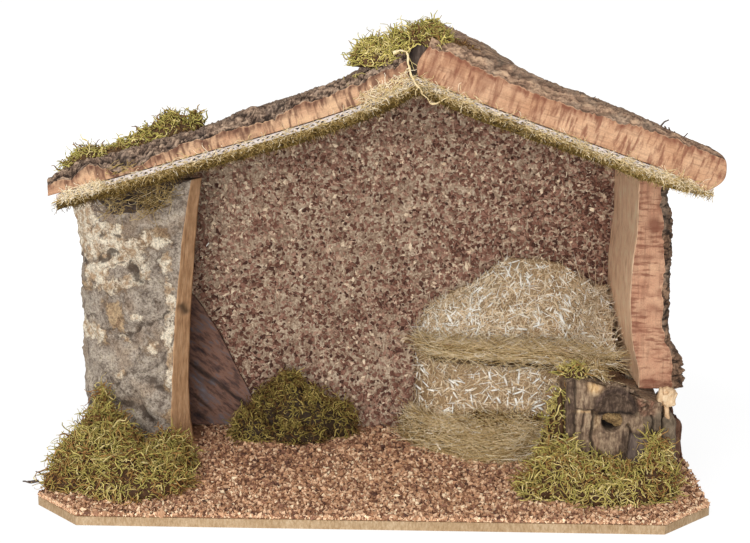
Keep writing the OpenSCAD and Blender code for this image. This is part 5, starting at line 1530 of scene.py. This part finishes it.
# Lobes of each cushion: middle (x, y), half width, half depth and height
LEFT_MOSS = [(-192, -18, 34, 38, 32), (-163, -48, 38, 31, 23), (-146, -18, 18, 34, 24),
             (-200, 12, 19, 26, 36), (-204, 36, 7, 7, 46), (-208, -44, 17, 19, 16)]
RIGHT_MOSS = [(128, -46, 21, 22, 34), (152, -54, 24, 22, 25), (174, -56, 18, 16, 21),
              (191, -48, 14, 16, 38), (110, -50, 11, 16, 12)]
BACK_MOSS = [(-95, 64, 16, 16, 22), (-84, 74, 16, 14, 36), (-68, 72, 20, 15, 47), (-50, 70, 20, 15, 34),
             (-34, 74, 18, 12, 26), (-62, 58, 24, 14, 14)]
ROOF_MOSS = [(-193, -30, 14, 22, 11), (-172, -28, 17, 20, 8), (-152, -26, 15, 22, 12),
             (-136, -24, 12, 18, 18), (-119, -26, 6, 9, 14)]
RIDGE_MOSS = [(0, -46, 12, 17, 17), (12, -46, 13, 18, 18), (24, -50, 11, 16, 12), (40, -48, 13, 16, 15)]
STUMP_SIDE_MOSS = [(125, -26, 6, 12, 58), (122, -24, 9, 13, 36), (128, -30, 5, 8, 68)]
STUMP_TOP_MOSS = [(139, -26, 7, 8, 8), (132, -24, 4, 7, 6)]


def ridge_ground(x, y):
    """Tops of the two slabs; left of the ridge the cushion stays level and hangs a little over the slab."""
    level = left_top(np.maximum(x, 9), y) + 1.3 * layered(x, y, 0, 6, 432, 2)
    return np.maximum(np.where(x < 30, level, 0), np.where(x > 25, right_top(x, y) - 3, 0))


def ridge_strands(rng, count=26):
    """Long yellowish strands that hang from the lower edge of the ridge moss over the left slab's bark."""
    x = rng.uniform(-18, 26, count)
    roots = np.column_stack([x, rng.uniform(-66, -58, count), left_top(x, -62) + rng.uniform(0, 5, count)])
    heading = np.column_stack([rng.normal(0, 1, count), np.full(count, -0.35), rng.normal(-0.1, 0.35, count)])
    path = curls(rng, roots, heading, rng.uniform(5, 13, count), rng.normal(0, 0.8, count), 9, 0.4, 2.0)
    path[..., 1] = np.clip(path[..., 1], ROOF_FRONT - 5, None)
    radius = tapered(rng.uniform(0.3, 0.6, count), 0.6, 9)
    return tubes(rng, path, radius, 4, tint=rng.uniform(0.4, 0.85, count)[:, None], tip=1.0)


def brown_clump(rng):
    """Small brown tuft on the right slab beside the ridge moss."""
    lobes = [(58, -46, 8, 10, 4)]
    return strands(rng, lobes, right_top, 260, 431, (4, 10), (0.8, 1.5), (0.14, 0.1), 0.2, 6)


rng = np.random.default_rng(401)
piece("moss_and_ledge_shadow_in_the_hay", moss_and_ledge_shadow(rng), [SHADED_MOSS])
piece("moss_front_left", moss(rng, LEFT_MOSS, FLAT_FLOOR, 3000, 411),
      [MOSS, MOSS_CORE], ["front_left_moss"])
piece("moss_front_right", moss(rng, RIGHT_MOSS, FLAT_FLOOR, 2400, 412, tint=(0.55, 0.22)),
      [MOSS, MOSS_CORE], ["front_right_moss"])
piece("moss_back", moss(rng, BACK_MOSS, FLAT_FLOOR, 2100, 413, (6, 16), (0.7, 1.7), (0.46, 0.26)),
      [SHADED_MOSS, MOSS_CORE], ["back_moss"])
piece("moss_on_left_roof", moss(rng, ROOF_MOSS, left_top, 1200, 414, (5, 13), (0.8, 1.9), (0.5, 0.25), 0.5),
      [BRIGHT_MOSS, MOSS_CORE], ["roof_moss"])
piece("moss_on_ridge", join(
    moss(rng, RIDGE_MOSS, ridge_ground, 1300, 415, (5, 14), (0.8, 1.9), (0.59, 0.22), 0.5),
    ridge_strands(rng), brown_clump(rng)),
      [BRIGHT_MOSS, MOSS_CORE], ["ridge_moss"])
piece("moss_beside_stump", moss(rng, STUMP_SIDE_MOSS, FLAT_FLOOR, 300, 416, (6, 15), (0.9, 1.9), (0.7, 0.18),
                                0.5),
      [MOSS, MOSS_CORE], ["stump_side_moss"])
piece("moss_on_stump", moss(rng, STUMP_TOP_MOSS, STUMP_TOP, 160, 417, (5, 13), (0.8, 1.8), (0.66, 0.2), 0.3),
      [MOSS, MOSS_CORE], ["stump_top_moss"])


# Fibre mats under the roof
def mat(rng, x0, x1, seed, count, reach):
    """Mat of loose fibre: a dark core under the sheet, and fibres that stand out of its front edge, pale at
    the top, olive lower down and nearly black underneath; this fall and the core's darkness are painted light
    and shade."""
    x = column(110, x0, x1)
    front = ROOF_FRONT + 1.5
    top = sheet_under(x) - 0.2
    thick = (MAT_T - 1) * (1 - 0.75 * ease(182, 220, x)) + 0.8 * noise(x, 0, 0, 9, seed)
    edge_z = top - thick * (1 - row(6))
    edge_y = front + 1.2 * noise(x, 0, edge_z, 3, seed + 1)
    over, under = row(14)[:, 1:], row(30, 1, 0)[:, :-1]
    under_z = top - thick + 0.8 * noise(x, under * 160, 0, 7, seed + 2)
    rings = rings_of((x, edge_y, edge_z), (x, front + (AT_WALL - front) * over, top - 0.3),
                     (x, front + (AT_WALL - front) * under, under_z))
    core = loft(rings, None, 1)
    core["slots"] = np.full(len(core["triangles"]), 1)
    px = rng.uniform(x0, x1, count)
    height = rng.uniform(0, 1, count)
    roots = np.column_stack([px, rng.uniform(front - 0.8, front + 2, count),
                             sheet_under(px) - 0.4 - reach(px) * (1 - height)])
    along = unit(np.column_stack([np.ones(count), np.zeros(count), roof_slope(px)]))
    heading = along * rng.normal(0, 0.9, (count, 1)) + np.array([0, -0.4, 0])
    heading = heading + 0.45 * random_units(rng, count)
    path = curls(rng, roots, heading, rng.uniform(3, 7.5, count), rng.normal(0, 1.3, count), 4, 0.3, 0.5)
    path[..., 1] = np.maximum(path[..., 1], ROOF_FRONT - 2.5)
    path[..., 0] = np.clip(path[..., 0], LEFT_EAVE[0] - 3, RIGHT_EAVE[0] + 0.5)
    # Tone rises with height, painted light at the top and painted shade below, and is higher towards the
    # right.
    tone = 0.04 + 0.86 * height ** 1.35 + 0.3 * ease(90, 190, px) + rng.normal(0, 0.12, count)
    radius = tapered(rng.uniform(0.26, 0.46, count), 0.7, 4)
    return join(tubes(rng, path, radius, tint=np.clip(tone, 0, 1)[:, None], tip=1.0), core)


def fuzz(rng, x_range, low, high, count, tint, length=(4, 9), width=(0.28, 0.5), turn=1.0, y=None):
    """Loose fibres in front of the roof's edge, at heights from low to high over the roof line."""
    x = rng.uniform(*x_range, count)
    front = ROOF_FRONT - rng.uniform(0, 1.5, count) if y is None else rng.uniform(*y, count)
    roots = np.column_stack([x, front, roof_line(x) + rng.uniform(low, high, count)])
    heading = np.column_stack([np.ones(count), np.full(count, -0.12), roof_slope(x)])
    heading = heading * rng.choice([-1, 1], (count, 1)) + rng.normal(0, 0.4, (count, 3)) * [1, 0.3, 1]
    path = curls(rng, roots, heading, rng.uniform(*length, count), rng.normal(0, turn, count), 6, 0.3)
    path[..., 1] = np.clip(path[..., 1], ROOF_FRONT - 3.5, None)
    radius = tapered(rng.uniform(*width, count), 0.7, 6)
    return tubes(rng, path, radius, tint=tones(rng, tint, count)[:, None], tip=1.0)


def left_reach(x):
    return 5.8 - 0.4 * ease(-60, 20, x) - 1.6 * (1 - ease(-202, -185, x))


def right_reach(x):
    return 4.2 + 1.6 * (1 - ease(30, 60, x)) - 3.0 * ease(180, 216, x)


rng = np.random.default_rng(501)
piece("fibre_mat_left", join(
    mat(rng, LEFT_EAVE[0] + 0.2, RIDGE[0] - 0.2, 511, 6000, left_reach),
    fuzz(rng, (-198, -172), -6, 1, 320, (0.95, 0.06), (3, 6)),
    fuzz(rng, (-172, 30), -5, 1, 160, (0.85, 0.1)),
    fuzz(rng, (-5, 24), -3, 7, 330, (0.9, 0.1), (3, 8), (0.35, 0.6), 1.8),
    fuzz(rng, (-168, -150), 2, 8, 30, (0.55, 0.1), (4, 9)),
    fuzz(rng, (-165, -140), -34, -18, 110, (0.6, 0.15), (10, 24), (0.35, 0.55), 4.5, (-5, 15)),
    fuzz(rng, (-186, -174), -30, -16, 60, (0.6, 0.15), (8, 18), (0.35, 0.55), 4.0, (0, 15))),
    [MAT_FIBRE, MAT_CORE], ["left_roof_mat"])
piece("fibre_mat_right", join(
    mat(rng, RIDGE[0] + 0.2, RIGHT_EAVE[0] - 0.2, 521, 5400, right_reach),
    fuzz(rng, (30, 70), -7, 1, 200, (0.85, 0.1)),
    fuzz(rng, (70, 214), -6, 0, 260, (0.85, 0.1)),
    fuzz(rng, (180, 208), -7, -1, 110, (0.85, 0.12), (3, 8))),
    [MAT_FIBRE, MAT_CORE], ["right_roof_mat"])


# Rootlet and small bits
# Way of the rootlet over the ridge: share of its length, and place (x, z)
ROOTLET_WAY = [(0, 14.7, 302.7), (0.08, 19, 304.3), (0.15, 22.8, 304), (0.25, 24.3, 298.4),
               (0.41, 25.9, 289.2), (0.5, 28.5, 284.9), (0.575, 31.3, 281.2), (0.657, 32.9, 276.8),
               (0.72, 36, 275), (0.78, 37.9, 271.9), (0.857, 42.3, 271.3), (0.91, 44.8, 273.1),
               (1, 49.1, 275.6)]


def rootlet():
    """Pale root that hangs over the ridge: a thin knotty tube with three short side roots."""
    rng = np.random.default_rng(601)
    low, high = node_box("ridge_rootlet")
    t = np.linspace(0, 1, 60)
    places, xs, zs = zip(*ROOTLET_WAY)
    kink_x, kink_z = (0.9 * noise(60 * t, 0, 0, 4, seed) * np.sin(np.pi * t) for seed in (603, 604))
    spine = np.column_stack([np.interp(t, places, xs) + kink_x, (low[1] + high[1]) / 2 + 0.4 * np.sin(9 * t),
                             np.interp(t, places, zs) + kink_z])
    radius = 0.75 * (1 - 0.35 * t) * (1 + 0.6 * noise(60 * t, 0, 0, 2.2, 602))
    parts = [tubes(rng, spine[None], radius[None], 8, crack=0.0)]
    for start, heading in ((33, (-0.3, 0, -1)), (45, (1, 0, 0.25)), (20, (-1, 0, 0.3))):
        root = spine[start:start + 1]
        path = curls(rng, root, np.array([heading], float), np.array([8.0]), np.array([0.9]), 12, 0.5)
        parts.append(tubes(rng, path, row(12, 0.35, 0.18), 6, crack=0.0))
    return join(*parts)


piece("pale_rootlet", rootlet(), [ROOT_WOOD], ["ridge_rootlet"])


def ridge_fill():
    """Dark crumbled bark in the gap between the two slabs: rings from front to back."""
    y = column(20, -63, 94)
    x = np.array([[23.5, 23.5, 29.0, 36.5, 36.5, 30.0]])
    low = roof_line(x) + 0.3
    left, right = left_top(23.5, y) - 1.5, right_top(38.0, y)
    high = np.concatenate([left, left, left_top(24.0, y) + 7, right - 3, right - 3, right], 1)
    z = np.where(np.array([[True, False, False, False, True, True]]), low, high)
    y = y + 0.8 * noise(x, z, 0, 4, 611)
    return loft(rings_of((x, y, z + 0.6 * noise(x, y, 0, 5, 612))), crack=0.3)


piece("dark_bark_in_ridge_gap", ridge_fill(), [DARK_BARK])


def roof_bits():
    """Small twigs and flakes of lichen that lie on the right roof."""
    rng = np.random.default_rng(621)
    x = np.array([107, 111, 132.6, 133, 140, 143, 147, 150, 153, 186, 189, 191, 194, 197, 200, 212, 64, 70])
    count = len(x)
    y = rng.uniform(-50, -40, count)
    roots = np.column_stack([x, y, right_top(x, y) + 0.8 - 4.6 * ease(186, 214, x)])
    heading = np.column_stack([rng.choice([-1, 1], count), rng.normal(0, 0.3, count),
                               rng.uniform(0, 0.9, count)])
    path = curls(rng, roots, heading, rng.uniform(3, 8, count), rng.normal(0, 0.9, count), 7, 0.2)
    return tubes(rng, path, tapered(2 * rng.uniform(0.4, 0.9, count), 0.6, 7), 5, crack=0.0)


piece("bits_on_right_roof", roof_bits(), [TWIG])


def corner_twigs():
    """Short dark twigs that stick out of the left moss at the corner of the base."""
    rng = np.random.default_rng(631)
    roots = np.array([[-230, -46, 10], [-228, -44, 7], [-226, -42, 13]], float)
    heading = np.array([[-1, -0.2, 0.15], [-1, 0.1, -0.1], [-0.8, -0.2, 0.5]], float)
    path = curls(rng, roots, heading, np.array([13.0, 11, 8]), np.array([0.5, -0.4, 0.6]), 8, 0.3)
    return tubes(rng, path, tapered(np.array([2.0, 1.6, 1.2]), 0.5, 8), 6, crack=0.0)


piece("twigs_in_left_moss", corner_twigs(), [DARK_BARK])


# Floor, backdrop, light and camera, in metres
FLOOR_SIZE = 6.0
# Strength of the surroundings as a light, and as the camera sees them, and how bright it sees the floor
WORLD_STRENGTH, BACKDROP_STRENGTH, FLOOR_GLOW = 0.44, 1.05, 1.13
# Share of the floor's glow near the middle, and the distances between which it grows to the whole
NEAR_GLOW, NEAR, FAR = 0.8, 0.35, 0.9
# Lamps: name, watts, width, height and place, and the place in the stable that they are turned to
LAMPS = [("front_softbox", 26, 1.2, 0.8, (-0.15, -1.75, 0.3)),
         ("upper_softbox", 7, 0.8, 0.5, (-0.3, -0.9, 1.25))]
LIT_PLACE = (0.0, 0.0, 0.14)
# The camera stands in front of the stable, a little right of its middle, and looks down at it. Its lens comes
# from the focal length and the width of the photograph in pixels.
CAMERA_PLACE = (0.0385, -0.9067, 0.3284)
CAMERA_DOWN, CAMERA_LEFT = 11.11, 2.4
FOCAL_PX, PHOTO_W_PX = 1327, 750
SENSOR_MM = 36


def seen_by_camera(tree):
    """1 on rays that reach a thing from the camera, straight, mirrored or through glass, and 0 on others."""
    path = add(tree, "LightPath").outputs
    seen = add(tree, "Math", {0: path["Is Camera Ray"], 1: path["Is Glossy Ray"]}, operation="MAXIMUM")
    return add(tree, "Math", {0: seen, 1: path["Is Transmission Ray"]}, operation="MAXIMUM")


def stage_floor():
    """Pale floor: the camera sees it nearly white, and it keeps the soft shadow of the stable."""
    material, tree, place = new_tree("pale studio floor")
    paint = add(tree, "BsdfDiffuse", {"Color": "#E8E8E8"})
    glow = add(tree, "Emission", {"Color": "#FFFFFF", "Strength": FLOOR_GLOW})
    far = add(tree, "VectorMath", {0: place}, operation="LENGTH")
    fade = add(tree, "MapRange", {0: far, 1: NEAR, 2: FAR, 3: NEAR_GLOW, 4: 1.0})
    share = add(tree, "Math", {0: seen_by_camera(tree), 1: fade}, operation="MULTIPLY")
    add(tree, "OutputMaterial", {"Surface": add(tree, "MixShader", {0: share, 1: paint, 2: glow})})
    size = FLOOR_SIZE / 2 / MM
    corners = [[-size, -size, 0], [size, -size, 0], [size, size, 0], [-size, size, 0]]
    mesh_object("studio_floor", form(corners, [[0, 1, 2], [0, 2, 3]]), [material], False)


def studio_light():
    """Even white surroundings, a broad soft lamp behind the camera and a smaller one above it."""
    world = bpy.data.worlds.new("studio")
    bpy.context.scene.world = world
    world.use_nodes = True
    tree = world.node_tree
    tree.nodes.clear()
    strength = add(tree, "MapRange", {0: seen_by_camera(tree), 3: WORLD_STRENGTH, 4: BACKDROP_STRENGTH})
    back = add(tree, "Background", {"Color": "#FFFFFF", "Strength": strength})
    add(tree, "OutputWorld", {"Surface": back})
    for name, watts, width, height, place in LAMPS:
        lamp = bpy.data.lights.new(name, "AREA")
        lamp.shape = "RECTANGLE"
        lamp.size, lamp.size_y = width, height
        lamp.energy = watts
        obj = new_object(name, lamp)
        obj.location = place
        x, y, z = np.subtract(LIT_PLACE, place)
        obj.rotation_euler = (math.atan2(math.hypot(x, y), -z), 0, math.atan2(y, x) - math.pi / 2)


stage_floor()
studio_light()

camera = bpy.data.cameras.new("camera")
camera.sensor_width = SENSOR_MM
camera.lens = FOCAL_PX / PHOTO_W_PX * SENSOR_MM
camera.clip_start, camera.clip_end = 0.01, 20
camera_object = new_object("camera", camera)
camera_object.location = CAMERA_PLACE
camera_object.rotation_euler = (math.radians(90 - CAMERA_DOWN), 0, math.radians(CAMERA_LEFT))
bpy.context.scene.camera = camera_object
bpy.context.scene.view_settings.view_transform = "Standard"
